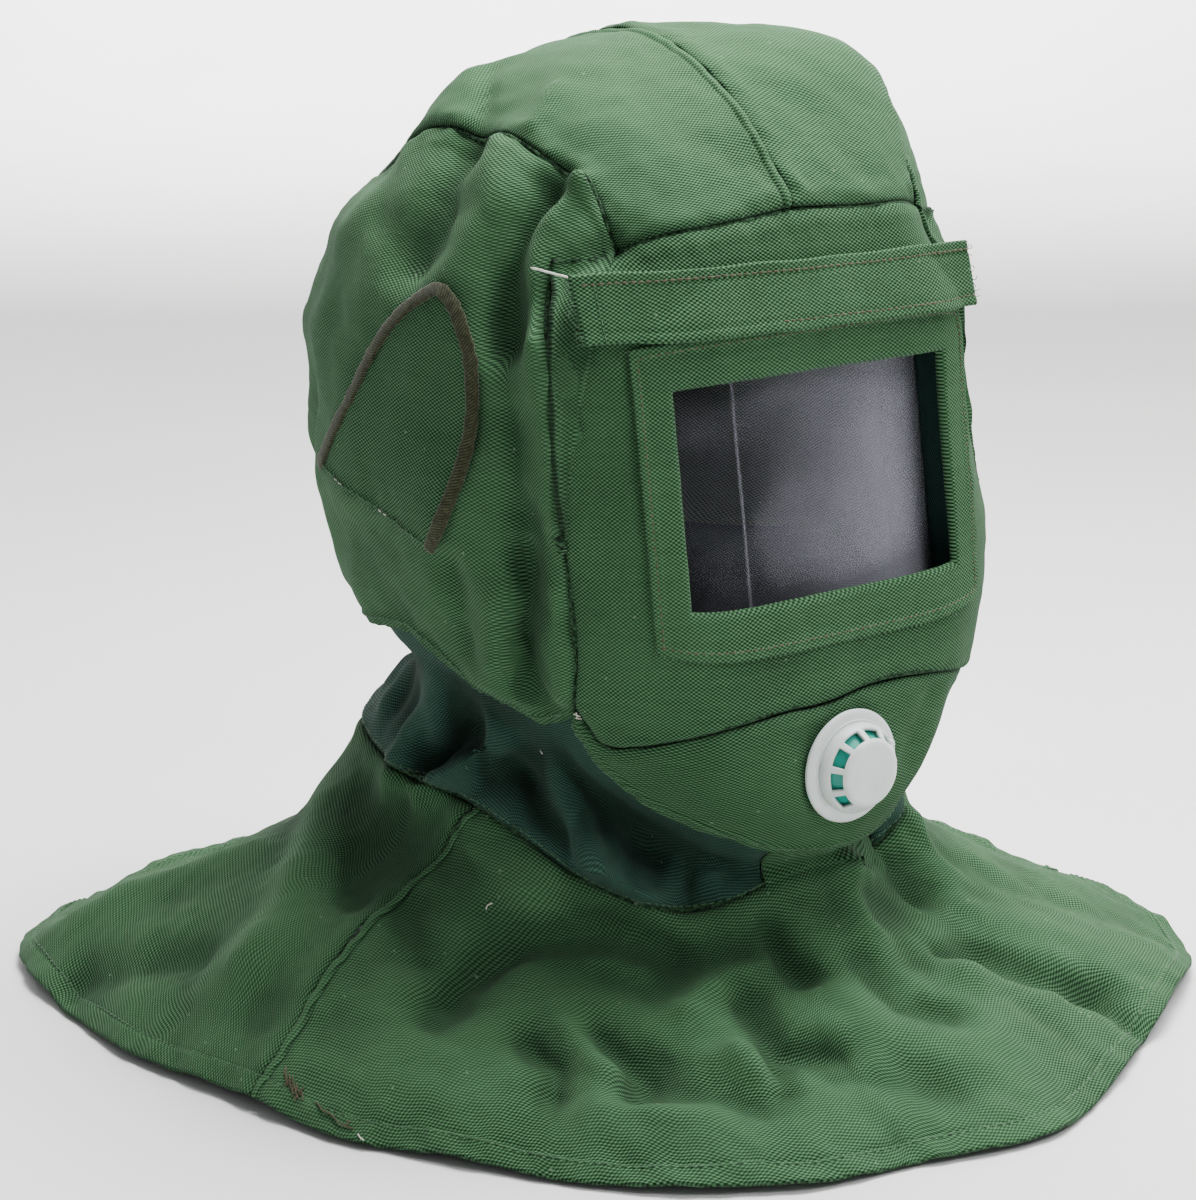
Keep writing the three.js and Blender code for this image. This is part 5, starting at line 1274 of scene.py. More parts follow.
# each: path of (left, forward, height), width, push
CAPE_FOLDS = [
    ([(-0.62, 0.41, 0.4), (-0.48, 0.42, 0.5), (-0.36, 0.46, 0.55), (-0.28, 0.57, 0.5)], 0.045, -0.032),
    ([(-0.46, 0.63, 0.36), (-0.4, 0.76, 0.25), (-0.33, 0.83, 0.2)], 0.045, -0.026),
    ([(-0.55, 0.58, 0.35), (-0.57, 0.67, 0.25)], 0.04, -0.02),
    ([(-0.15, 0.64, 0.5)], 0.06, -0.03),
    ([(0.13, 0.56, 0.6), (0.19, 0.62, 0.5), (0.17, 0.74, 0.4)], 0.04, 0.033),
    ([(0.22, 0.5, 0.6), (0.27, 0.62, 0.45), (0.25, 0.76, 0.35)], 0.04, -0.028),
    ([(0.12, 0.71, 0.42), (0.22, 0.76, 0.35), (0.37, 0.82, 0.2)], 0.045, -0.028),
    ([(-0.4, -0.22, 0.7), (-0.54, -0.05, 0.55), (-0.68, 0.06, 0.4)], 0.09, 0.035),
    ([(-0.75, 0.13, 0.35), (-0.92, 0.22, 0.1)], 0.045, -0.022),
    ([(0.45, 0.0, 0.7), (0.72, 0.05, 0.4)], 0.1, 0.012),
    ([(-0.25, -0.55, 0.65), (-0.4, -0.85, 0.2)], 0.07, -0.03),
    ([(0.2, -0.6, 0.6), (0.45, -0.8, 0.2)], 0.07, -0.03),
]
# the narrow ones: hollows and ridges where the cape and the collar bunch up
CAPE_CREASES = [
    ([(-0.57, 0.36, 0.38), (-0.5, 0.36, 0.45), (-0.43, 0.37, 0.51), (-0.36, 0.41, 0.54), (-0.29, 0.45, 0.56),
      (-0.25, 0.51, 0.46)], 0.036, -0.036),
    ([(-0.5, 0.41, 0.36), (-0.4, 0.42, 0.43), (-0.33, 0.45, 0.45), (-0.29, 0.5, 0.42)], 0.036, 0.021),
    ([(-0.44, 0.57, 0.29), (-0.42, 0.68, 0.21), (-0.46, 0.71, 0.19)], 0.032, -0.032),
    ([(-0.53, 0.53, 0.3), (-0.52, 0.59, 0.25), (-0.55, 0.63, 0.19)], 0.03, -0.027),
    ([(-0.47, 0.56, 0.3), (-0.48, 0.66, 0.22)], 0.026, 0.021),
    ([(-0.21, 0.65, 0.33), (-0.23, 0.75, 0.27), (-0.15, 0.81, 0.26)], 0.034, -0.034),
    ([(-0.3, 0.62, 0.33), (-0.21, 0.59, 0.37), (-0.13, 0.6, 0.4)], 0.03, 0.023),
    ([(-0.09, 0.58, 0.48), (-0.09, 0.61, 0.42), (-0.09, 0.65, 0.38)], 0.026, -0.036),
    ([(0.26, 0.46, 0.66), (0.27, 0.48, 0.53), (0.26, 0.53, 0.43)], 0.03, -0.042),
    ([(0.33, 0.42, 0.6), (0.34, 0.5, 0.44)], 0.03, 0.027),
    ([(0.18, 0.67, 0.34), (0.27, 0.68, 0.27), (0.32, 0.75, 0.21), (0.4, 0.8, 0.13)], 0.03, -0.027),
    ([(0.16, 0.74, 0.3), (0.28, 0.8, 0.18)], 0.04, 0.023),
    ([(0.39, 0.81, 0.11), (0.39, 0.88, 0.04)], 0.04, -0.03),
    ([(-0.3, 0.74, 0.25), (-0.3, 0.81, 0.18)], 0.028, 0.025),
    ([(-0.26, 0.79, 0.24), (-0.28, 0.83, 0.18)], 0.024, -0.027),
    ([(-0.2, 0.85, 0.22), (-0.1, 0.9, 0.2), (-0.05, 0.95, 0.16)], 0.04, -0.019),
    ([(-0.54, 0.71, 0.16), (-0.43, 0.82, 0.14), (-0.4, 0.9, 0.08)], 0.04, 0.019),
    ([(-0.52, 0.01, 0.61), (-0.56, 0.09, 0.53)], 0.04, -0.03),
    ([(-0.45, -0.14, 0.72), (-0.56, -0.03, 0.6), (-0.69, 0.05, 0.46), (-0.74, 0.08, 0.35)], 0.036, 0.034),
    ([(-0.82, -0.41, 0.16), (-0.69, -0.34, 0.35), (-0.56, -0.21, 0.51)], 0.05, 0.023),
    ([(-0.86, -0.26, 0.12), (-0.76, -0.06, 0.32)], 0.05, -0.032),
    ([(0.09, 0.54, 0.68), (0.07, 0.57, 0.55), (0.06, 0.63, 0.43)], 0.028, 0.023),
    ([(-0.41, 0.2, 0.8), (-0.41, 0.28, 0.69), (-0.4, 0.34, 0.62)], 0.035, 0.017),
    ([(-0.52, 0.19, 0.55), (-0.56, 0.29, 0.46)], 0.04, -0.023),
    ([(0.0, 0.68, 0.4), (-0.01, 0.78, 0.32), (0.05, 0.82, 0.28)], 0.035, -0.023),
    ([(-0.38, 0.18, 1.45), (-0.38, 0.15, 1.23), (-0.38, 0.12, 1.15), (-0.4, 0.08, 1.04)], 0.035, -0.075),
    ([(-0.37, 0.2, 1.4), (-0.36, 0.195, 1.15), (-0.38, 0.17, 1.06), (-0.4, 0.13, 0.98), (-0.41, 0.09, 0.89)],
     0.026, 0.05),
    ([(-0.35, 0.25, 1.12), (-0.33, 0.28, 0.97), (-0.32, 0.31, 0.9), (-0.31, 0.33, 0.84)], 0.032, -0.075),
    ([(-0.34, 0.23, 1.16), (-0.32, 0.27, 1.06), (-0.31, 0.33, 0.98), (-0.3, 0.41, 0.8)], 0.024, 0.055),
    ([(-0.31, 0.37, 1.2), (-0.28, 0.38, 1.06), (-0.26, 0.41, 0.95)], 0.03, -0.07),
    ([(-0.39, 0.09, 1.34), (-0.38, 0.03, 1.1), (-0.41, 0.01, 0.89)], 0.045, 0.041),
    ([(-0.25, 0.39, 0.98), (-0.29, 0.39, 0.8), (-0.26, 0.46, 0.67)], 0.035, 0.03),
    ([(-0.16, 0.48, 0.85), (-0.19, 0.5, 0.64)], 0.04, -0.041),
    ([(0.38, -0.05, 1.2), (0.42, 0.0, 0.9)], 0.05, -0.041),
    ([(0.1, -0.42, 1.2), (0.2, -0.5, 0.9)], 0.05, -0.041),
    ([(-0.2, -0.42, 1.2), (-0.1, -0.5, 0.9)], 0.05, 0.034),
    ([(0.6, -0.4, 0.5), (0.85, -0.4, 0.15)], 0.05, -0.038),
    ([(0.0, -0.6, 0.6), (0.05, -0.9, 0.2)], 0.05, 0.035),
    ([(-0.6, -0.55, 0.4), (-0.7, -0.65, 0.15)], 0.05, 0.032),
]


def cape_place(shares):
    return np.array([shares[0] * HEM_RADIUS, shares[1] * HEM_RADIUS, shares[2] * NECK_RISE])


# %% Where the collar lies inside the hood
EDGE_ANGLES, INSIDE_HEIGHTS = np.arange(-180, 181, 3.0), np.arange(60, 205, 3.0)


def lower_edges():
    """Lowest and highest place of the hood's edge near each angle round the neck."""
    found = {}
    for side in (-1, 1):
        line = on_hood(np.vstack([seam("chin_edge", side)[::-1], seam("side_edge", side)]))
        found[side] = (np.degrees(np.arctan2(np.abs(line[:, 0]), line[:, 1] - NECK_FORWARD)), line[:, 2])
    low, high = [], []
    for angle in EDGE_ANGLES:
        turn, height = found[-1 if angle < 0 else 1]
        near = height[np.abs(turn - abs(angle)) < 6]
        low.append(near.min())
        high.append(near.max())
    return np.array(low), np.array(high)


def inside_radii():
    """Radius about the neck that clears the inside of the hood, at a table of angles and heights."""
    turn, height = np.meshgrid(np.radians(EDGE_ANGLES), INSIDE_HEIGHTS, indexing="ij")
    way = np.stack([np.sin(turn), np.cos(turn), 0 * turn], axis=-1)
    start = np.stack([0 * turn, 0 * turn + NECK_FORWARD, height], axis=-1)
    reach = np.full(turn.shape, float(FORWARD))
    for _ in range(9):
        spot = start + reach[..., None] * way - MIDDLE
        length = np.linalg.norm(spot, axis=-1)
        reach = reach * (hood_reach(spot / length[..., None]) - CLOTH - TUCK_GAP) / length
    wide = np.pad(reach, 1, mode="edge")
    wide[0], wide[-1] = wide[-3], wide[2]
    around = [wide[i:i + reach.shape[0], j:j + reach.shape[1]] for i in range(3) for j in range(3)]
    return np.minimum.reduce(around)


EDGE_LOW, EDGE_HIGH = lower_edges()
INSIDE = inside_radii()


def tucked_radius(angle, height):
    i = np.clip((angle + 180) / 3, 0, len(EDGE_ANGLES) - 1.001)
    j = np.clip((height - INSIDE_HEIGHTS[0]) / 3, 0, len(INSIDE_HEIGHTS) - 1.001)
    a, b = i.astype(int), j.astype(int)
    s, t = i - a, j - b
    return ((1 - s) * (1 - t) * INSIDE[a, b] + s * (1 - t) * INSIDE[a + 1, b]
            + (1 - s) * t * INSIDE[a, b + 1] + s * t * INSIDE[a + 1, b + 1])


def ease(share):
    t = np.clip(share, 0, 1)
    return t * t * (3 - 2 * t)


# columns: share of the way from neck to hem, degrees that the shoulder seams lean to the back
SHOULDER_LEAN = np.array([[0, 0], [0.08, 5], [0.23, 8], [0.48, 4.5], [0.68, 2], [0.86, 0], [1, 0]], float)
LEAN_REACH = 16


def leaned(angle, share):
    """The cloth beside a shoulder seam leans back with it."""
    near = np.exp(-((np.abs(angle) - SHOULDER) / LEAN_REACH)**2)
    return angle + np.sign(angle) * near * read_table(SHOULDER_LEAN, 1, np.clip(share - 1, 0, 1))


def neck_place(angle, share):
    """Outer place of the collar and cape at an angle in degrees and a share from 0 to 2."""
    angle, share = np.broadcast_arrays(np.asarray(angle, float), np.asarray(share, float))
    angle = leaned(angle, share)
    turned_by = np.abs(angle)
    seam_height = read_table(NECK, 2, turned_by) * NECK_RISE
    seam_radius = read_table(NECK, 1, turned_by) * NECK_WIDE
    sin, cos = np.sin(np.radians(angle)), np.cos(np.radians(angle))
    low, high = np.interp(angle, EDGE_ANGLES, EDGE_LOW), np.interp(angle, EDGE_ANGLES, EDGE_HIGH)
    leaving = np.maximum(low - CLEAR, seam_height + 2 * CLEAR)
    held = share <= HELD
    rest = (share - HELD) / (1 - HELD)
    height = np.where(held, high + TUCK + (leaving - high - TUCK) * share / HELD,
                      leaving + (seam_height - leaving) * rest)
    loose = np.where(held, 0, ease(rest))
    inside = tucked_radius(angle, height)
    radius = inside + (seam_radius - inside) * loose
    collar = np.stack([sin * radius, NECK_FORWARD + cos * radius, height], axis=-1)
    along = np.clip(share - 1, 0, 1)
    reach = read_table(HEM, 1, angle) * HEM_RADIUS
    lift, sink = read_table(HEM, 2, angle) * HEM_RADIUS, read_table(HEM, 3, angle)
    top = seam_height * (1 - sink * along)
    cape = np.stack([sin * seam_radius * (1 - along) + sin * reach * along,
                     (NECK_FORWARD + cos * seam_radius) * (1 - along) + cos * reach * along,
                     top + (lift - top) * read_table(CAPE_FALL, 1, along)], axis=-1)
    spot = np.where((share <= 1)[..., None], collar, cape)
    loose = np.where(share <= 1, loose, 1)
    lying = ease((share - 0.8) / 0.5)
    level = 1 + (0.35 - 1) * lying
    out = np.stack([sin * level, cos * level, 0.1 + 0.84 * lying], axis=-1)
    return spot + out * (fold_push(spot, CAPE_FOLDS + CAPE_CREASES, cape_place, HEM_RADIUS) * loose)[..., None]


def wrap(angle):
    return np.where(angle > 180, angle - 360, angle)


def cape_uv(net, angle, start=176.0, turn=0.725):
    """The cape laid flat as part of a ring, so that its weave runs straight as the cloth was cut."""
    run = border_distances(net)[0]
    spread = np.radians(np.broadcast_to(angle, run.shape)) * turn
    return np.stack([(start + run) * np.sin(spread), -(start + run) * np.cos(spread)], axis=-1)


NECK_CENTRE = np.array([0, 10, -60.0])

# %% Collar
def collar():
    left = np.concatenate([shares_for(70, 0.6, 0.3, 1) * (SHOULDER - TONGUE_LEFT) + TONGUE_LEFT,
                           np.linspace(SHOULDER, 180, 170)[1:]])
    right = np.concatenate([shares_for(90, 0.5, 0.3, 1) * (SHOULDER - TONGUE) + TONGUE,
                            np.linspace(SHOULDER, 180, 170)[1:]])
    angle = np.concatenate([left, 360 - right[:-1][::-1]])
    share = shares_for(100, 2.0, 0.8, 6)
    net = neck_place(wrap(angle)[None, :], share[:, None])
    run = border_distances(net)
    uv = np.stack([run[2][-1:] * np.ones_like(run[0]), -run[0]], axis=-1)
    fall = np.sin(math.pi * np.clip((share - 0.35) / 0.6, 0, 1))[:, None]
    hang = fall * (2.6 * waves(net * np.array([1, 1, 0.25]), 34, 91) + 1.1 * waves(net * np.array([1, 1, 0.4]), 17, 92))
    made, raised, normal = dressed("collar_band", net, uv, (None, "crease", "crease", "crease"), collar_cloth,
                                   amount=0.5, seed=81, centre=np.array([0, 22, 100.0]), extra=hang, rub_and_fold_shade=0.3)
    add_stitches(raised[-6], normal[-6], "green", 3.6)
    return raised.shape[:2]


print("collar", collar())

# %% Cape, front and back
def cape_front():
    def side_angles(tongue):
        return np.concatenate([np.linspace(0, tongue, 2 * tongue),
                               tongue + shares_for(330, 2.3, 0.9, 9)[1:] * (SHOULDER - tongue)])

    angle = np.concatenate([-side_angles(TONGUE)[::-1][:-1], side_angles(TONGUE_LEFT)])
    down = shares_for(205, 2.2, 0.9, 13)
    share = np.concatenate([np.linspace(0, 1, 40)[:-1], 1 + down])
    net = neck_place(angle[None, :], share[:, None])
    keep = np.ones((len(share) - 1, len(angle) - 1), bool)
    centre = (angle[1:] + angle[:-1]) / 2
    keep[:39] = ((centre > -TONGUE) & (centre < TONGUE_LEFT))[None, :]
    cape = net[39:]
    run = border_distances(cape)
    uv = np.zeros((*net.shape[:2], 2))
    uv[39:] = cape_uv(cape, angle[None, :])
    uv[:39] = uv[39:40] + np.stack([np.zeros(net[:39].shape[:2]),
                                    (net[:39, :, 2] - net[39:40, :, 2])], axis=-1)
    height, wear_and_shade = np.zeros(net.shape[:2]), np.zeros(net.shape[:2])
    for kind, distance in (("crease", run[0]), ("hem", run[1]), ("fell", run[2]), ("fell", run[3])):
        more, rubbed_and_shaded = relief_of(kind, distance)
        height[39:] += more + 0.4 * waves(cape, 11, 84) * np.exp(-distance / 12)
        wear_and_shade[39:] += rubbed_and_shaded
    across_tongue = (angle > 0.3 - TONGUE) & (angle < TONGUE_LEFT - 0.3)
    height[:40, across_tongue], wear_and_shade[:40, across_tongue] = 0, 0
    normal = outward(net, net_normals(net), NECK_CENTRE)
    height += rumpled(net, 1.3, 86)
    # fold crests paler and hollows darker: painted light and painted shade on the cape's folds
    stands = hollowness(net[39:] + normal[39:] * height[39:, :, None], normal[39:])
    wear_and_shade[39:] += 0.16 * np.clip(stands, -2.5, 2.5)
    raised = net + normal * height[..., None]
    normal = outward(raised, net_normals(raised), NECK_CENTRE)
    outer, inner = eased(raised, normal)
    made = shell("cape_front_cloth", outer, inner, uv, canvas, keep, wear_and_shade=np.clip(wear_and_shade, -1.3, 1))
    made_pieces["cape_front_cloth"] = (made, raised, normal)
    hem_row = -int(np.argmin(np.abs(run[1][::-1, 100] - 8.2))) - 1
    add_stitches(raised[hem_row, 2:-2], normal[hem_row, 2:-2], "green", 3.8)
    return raised.shape[:2]


def cape_back():
    angle = SHOULDER + shares_for(560, 2.9, 0.9, 9) * (180 - SHOULDER)
    angle = np.concatenate([angle, 360 - angle[:-1][::-1]])
    angle = angle[np.concatenate([[True], np.diff(angle) > 1e-9])]
    down = shares_for(205, 2.4, 0.9, 13)
    net = neck_place(wrap(angle)[None, :], 1 + down[:, None])
    uv = cape_uv(net, (angle - 180)[None, :])
    made, raised, normal = dressed("cape_back_cloth", net, uv, ("crease", "hem", "crease", "crease"), canvas, amount=1.4,
                                   seed=88, centre=NECK_CENTRE, rub_and_fold_shade=0.16)
    hem_row = -int(np.argmin(np.abs(border_distances(net)[1][::-1, 100] - 8.2))) - 1
    add_stitches(raised[hem_row, 2:-2], normal[hem_row, 2:-2], "green", 3.8)
    return raised.shape[:2]


print("cape front", cape_front(), "cape back", cape_back())

# %% [markdown]
# ## Seam allowances
# Behind each seam the two cut edges are folded in together. They close the groove, and show in it as a cord of cloth
# darkened with painted shade. They are thin tubes that follow the seam lines a little under the surface.

# %% Cloth folded in behind the seams
def tube(line, radius, sides=7):
    """A tube along dense places, with pointed ends."""
    count = len(line)
    along = unit(np.gradient(line, axis=0))
    first = unit(np.cross(along, np.array([0.31, 0.22, 0.92])))
    second = np.cross(along, first)
    turn = np.linspace(0, 2 * math.pi, sides, endpoint=False)
    thin = radius * np.sqrt(np.clip(np.minimum(np.arange(count), np.arange(count)[::-1]) / 2.0 + 0.15, 0, 1))
    places = line[:, None] + (first[:, None] * np.cos(turn)[None, :, None]
                              + second[:, None] * np.sin(turn)[None, :, None]) * thin[:, None, None]
    label = np.arange(count * sides).reshape(count, sides)
    cells = np.stack([label[:-1], np.roll(label[:-1], -1, axis=1), np.roll(label[1:], -1, axis=1), label[1:]], -1)
    return places.reshape(-1, 3), cells.reshape(-1, 4).tolist() + [label[0, ::-1].tolist(), label[-1].tolist()]


def tubes(name, lines, radius, material):
    points, faces = [], []
    for line in lines:
        more, cells = tube(line, radius)
        faces += [[n + len(points) for n in cell] for cell in cells]
        points += more.tolist()
    # each tube carries a strong painted-shade value; only the canvas reads it, and it darkens the seam allowances
    # towards near-black
    made = piece(name, to_row(np.array(points)), faces, uv=np.repeat(np.arange(sum(map(len, faces)))[:, None] * 0.0004, 2, 1),
                 material=material, attributes={"wear_and_shade": -0.8 * np.ones(len(points))})
    face_out(made)
    return made


def allowance(name, side=1, depth=2.3):
    line = seam(name, side)
    return on_hood(at_shares(line, np.linspace(0, 1, int(line_length(line) / 2))), -depth)


neck_ring = np.concatenate([np.arange(TONGUE_LEFT, 180, 1.0), np.arange(-180, -TONGUE + 1, 1.0)])
neck_line = neck_place(neck_ring, np.ones(len(neck_ring)))
neck_out = unit(neck_line * np.array([1, 1, 0]) - np.array([0, NECK_FORWARD, 0]))
down_seam = np.linspace(0, 0.99, 90)
shoulders = [neck_place(side * SHOULDER, 1 + down_seam) - np.array([0, 0, 2.3]) for side in (-1, 1)]
allowances = tubes("seam_allowances", [allowance("crown_middle"), allowance("crown_back", -1), allowance("crown_back", 1),
                                       allowance("back"), allowance("chin_seam"), neck_line - neck_out * 2.3, *shoulders,
                                       *[allowance(name, side) for side in (-1, 1)
                                         for name in ("crown_side", "face_top_end", "face_top_half", "face_side")]],
                   1.5, canvas)
print("allowances", len(allowances.data.polygons), "faces")

# %% [markdown]
# ## Stitches
# Every seam that shows is topstitched: short bent thread ends that dip into the cloth at even steps. They
# repeat along a path, so Geometry Nodes make them. One tree takes a line of points that carry the cloth's
# direction, spaces them by the stitch length, and lays a small bent strand of thread at each.

# %% The tree that sews
def add(tree, kind, **settings):
    made = tree.nodes.new(kind)
    for key, value in settings.items():
        setattr(made, key, value)
    return made


def sewing_tree():
    tree = bpy.data.node_groups.new("stitches along a seam", "GeometryNodeTree")
    face = tree.interface
    face.new_socket("Seam", in_out="INPUT", socket_type="NodeSocketGeometry")
    for name, value in (("Stitch pitch", 0.0036), ("Stitch length", 0.0026), ("Thread thickness", 0.0007),
                        ("Unevenness", 0.12)):
        face.new_socket(name, in_out="INPUT", socket_type="NodeSocketFloat").default_value = value
    face.new_socket("Seed", in_out="INPUT", socket_type="NodeSocketInt").default_value = 4
    face.new_socket("Thread", in_out="INPUT", socket_type="NodeSocketMaterial")
    face.new_socket("Stitches", in_out="OUTPUT", socket_type="NodeSocketGeometry")
    given, result = add(tree, "NodeGroupInput"), add(tree, "NodeGroupOutput")
    link = tree.links.new
    line = add(tree, "GeometryNodeMeshToCurve")
    link(given.outputs["Seam"], line.inputs[0])
    spaced = add(tree, "GeometryNodeResampleCurve", mode="LENGTH")
    link(line.outputs[0], spaced.inputs["Curve"])
    link(given.outputs["Stitch pitch"], spaced.inputs["Length"])
    # one stitch: an arc whose middle stands up and whose ends sink into the cloth
    half = add(tree, "ShaderNodeMath", operation="MULTIPLY")
    link(given.outputs["Stitch length"], half.inputs[0])
    half.inputs[1].default_value = 0.5
    back = add(tree, "ShaderNodeMath", operation="MULTIPLY")
    link(half.outputs[0], back.inputs[0])
    back.inputs[1].default_value = -1
    ends = []
    for source in (back, half):
        end = add(tree, "ShaderNodeCombineXYZ")
        link(source.outputs[0], end.inputs[0])
        link(back.outputs[0], end.inputs[2])
        ends.append(end)
    for end in ends:
        painted_crease_and_hollow_shade = add(tree, "ShaderNodeMath", operation="MULTIPLY")
        link(given.outputs["Thread thickness"], painted_crease_and_hollow_shade.inputs[0])
        painted_crease_and_hollow_shade.inputs[1].default_value = -0.6
        link(painted_crease_and_hollow_shade.outputs[0], end.inputs[2])
    top = add(tree, "ShaderNodeCombineXYZ")
    link(given.outputs["Thread thickness"], top.inputs[2])
    bend = add(tree, "GeometryNodeCurveQuadraticBezier")
    bend.inputs["Resolution"].default_value = 5
    link(ends[0].outputs[0], bend.inputs["Start"])
    link(top.outputs[0], bend.inputs["Middle"])
    link(ends[1].outputs[0], bend.inputs["End"])
    ring = add(tree, "GeometryNodeCurvePrimitiveCircle")
    ring.inputs["Resolution"].default_value = 6
    thin = add(tree, "ShaderNodeMath", operation="MULTIPLY")
    link(given.outputs["Thread thickness"], thin.inputs[0])
    thin.inputs[1].default_value = 0.5
    link(thin.outputs[0], ring.inputs["Radius"])
    strand = add(tree, "GeometryNodeCurveToMesh")
    link(bend.outputs[0], strand.inputs["Curve"])
    link(ring.outputs[0], strand.inputs["Profile Curve"])
    strand.inputs["Fill Caps"].default_value = True
    # each stitch stands on the cloth and runs along the seam
    lie = add(tree, "GeometryNodeInputNamedAttribute", data_type="FLOAT_VECTOR")
    lie.inputs["Name"].default_value = "cloth_up"
    upright = add(tree, "FunctionNodeAlignRotationToVector", axis="Z")
    link(lie.outputs[0], upright.inputs["Vector"])
    tangent = add(tree, "GeometryNodeInputTangent")
    along = add(tree, "FunctionNodeAlignRotationToVector", axis="X", pivot_axis="Z")
    link(upright.outputs[0], along.inputs["Rotation"])
    link(tangent.outputs[0], along.inputs["Vector"])
    dice = add(tree, "FunctionNodeRandomValue", data_type="FLOAT")
    low = add(tree, "ShaderNodeMath", operation="SUBTRACT")
    low.inputs[0].default_value = 1
    link(given.outputs["Unevenness"], low.inputs[1])
    high = add(tree, "ShaderNodeMath", operation="ADD")
    high.inputs[0].default_value = 1
    link(given.outputs["Unevenness"], high.inputs[1])
    floats = [s for s in dice.inputs if s.type == "VALUE" and s.enabled]
    link(low.outputs[0], floats[0])
    link(high.outputs[0], floats[1])
    link(given.outputs["Seed"], dice.inputs["Seed"])
    laid = add(tree, "GeometryNodeInstanceOnPoints")
    link(spaced.outputs[0], laid.inputs["Points"])
    link(strand.outputs[0], laid.inputs["Instance"])
    link(along.outputs[0], laid.inputs["Rotation"])
    link([s for s in dice.outputs if s.type == "VALUE" and s.enabled][0], laid.inputs["Scale"])
    real = add(tree, "GeometryNodeRealizeInstances")
    link(laid.outputs[0], real.inputs[0])
    smooth = add(tree, "GeometryNodeSetShadeSmooth")
    link(real.outputs[0], smooth.inputs[0])
    dyed = add(tree, "GeometryNodeSetMaterial")
    link(smooth.outputs[0], dyed.inputs["Geometry"])
    link(given.outputs["Thread"], dyed.inputs["Material"])
    link(dyed.outputs[0], result.inputs[0])
    return tree


def socket_id(tree, name):
    return next(s.identifier for s in tree.interface.items_tree
                if s.item_type == "SOCKET" and s.in_out == "INPUT" and s.name == name)


sew = sewing_tree()


def baked(made, name):
    """Turn a piece with a live tree into a plain mesh."""
    view = bpy.context.evaluated_depsgraph_get()
    mesh = bpy.data.meshes.new_from_object(made.evaluated_get(view))
    plain = bpy.data.objects.new(name, mesh)
    bpy.context.collection.objects.link(plain)
    bpy.data.objects.remove(made)
    mesh.name = name
    return plain


def sew_lines(name, lines, thread, pitch, length, thickness, seed):
    points, edges, up = [], [], []
    for line, normal in lines:
        start = len(points)
        points += line.tolist()
        up += normal.tolist()
        edges += [(start + k, start + k + 1) for k in range(len(line) - 1)]
    mesh = bpy.data.meshes.new(name + "_path")
    mesh.from_pydata(points, edges, [])
    mesh.attributes.new("cloth_up", "FLOAT_VECTOR", "POINT").data.foreach_set("vector", np.array(up, np.float32).ravel())
    path = bpy.data.objects.new(name + "_path", mesh)
    bpy.context.collection.objects.link(path)
    run = path.modifiers.new("sew", "NODES")
    run.node_group = sew
    for key, value in (("Stitch pitch", pitch * MM), ("Stitch length", length * MM),
                       ("Thread thickness", thickness * MM), ("Seed", seed), ("Thread", thread)):
        run[socket_id(sew, key)] = value
    return baked(path, name)


sewn = []
for colour, thread, thickness in (("green", green_thread, 0.75), ("brown", brown_thread, 0.8),
                                  ("white", white_thread, 0.7)):
    for pitch in sorted({line[3] for line in stitch_lines if line[2] == colour}):
        lines = [(line[0], line[1]) for line in stitch_lines if line[2] == colour and line[3] == pitch]
        if lines:
            name = f"{colour}_stitches_{str(pitch).replace('.', '_')}"
            sewn.append(sew_lines(name, lines, thread, pitch, pitch * 0.72, thickness, len(sewn) + 3))
            print(name, len(lines), "lines", len(sewn[-1].data.polygons), "faces")

# %% [markdown]
# ## Loose threads
# Cut ends are left where a maker stops sewing: a white one at the end of the brow strip, brown ones on the
# cape, and fine frays. A loose thread is a short tube that follows a few bent points.

# %% Loose threads and the bar tack
def strands(name, lines, radius, material):
    return tubes(name, [at_shares(centripetal(line, 12), np.linspace(0, 1, 24)) for line in lines], radius, material)


def near_piece(name, place, lift):
    """The nearest place of a piece's net to a guide place, lifted off its cloth."""
    raised, normal = made_pieces[name][1:]
    flat = raised.reshape(-1, 3)
    k = int(np.argmin(np.linalg.norm(flat - np.asarray(place, float), axis=1)))
    return flat[k] + normal.reshape(-1, 3)[k] * lift


strip_net = made_pieces["brow_strip_cloth"][1]
corner = strip_net[-3, 0]
white_end = strands("white_thread_end", [[corner + (2, -1.5, 0), corner + (-3, -2.5, 1.5), corner + (-8, -7, 3.2),
                                          corner + (-11, -11, 4.2)]], 0.45, white_thread)
dice = np.random.default_rng(12)
frays = []
for row in range(2, strip_net.shape[0] - 2, 2):
    for column, way in ((0, -1), (-1, 1)):
        base = strip_net[row, column] - np.array([0, dice.uniform(0.5, 2.5), 0])
        reach = dice.uniform(1.2, 3.2)
        frays.append([base - (way * 1.0, 0, 0), base + (way * reach * 0.5, dice.uniform(-0.5, 0.6), dice.uniform(-0.8, 0.8)),
                      base + (way * reach, dice.uniform(-1, 1), dice.uniform(-1.8, 1.8))])
fray = strands("strip_frays", frays, 0.16, green_thread)
print("loose threads", len(white_end.data.polygons) + len(fray.data.polygons), "faces")

# %% Bar tack at the foot of the shoulder seam, the knot at the chin and lint
def on_cape(angle, share, lift=0.5, name="cape_front_cloth"):
    return near_piece(name, neck_place(angle, share), lift)


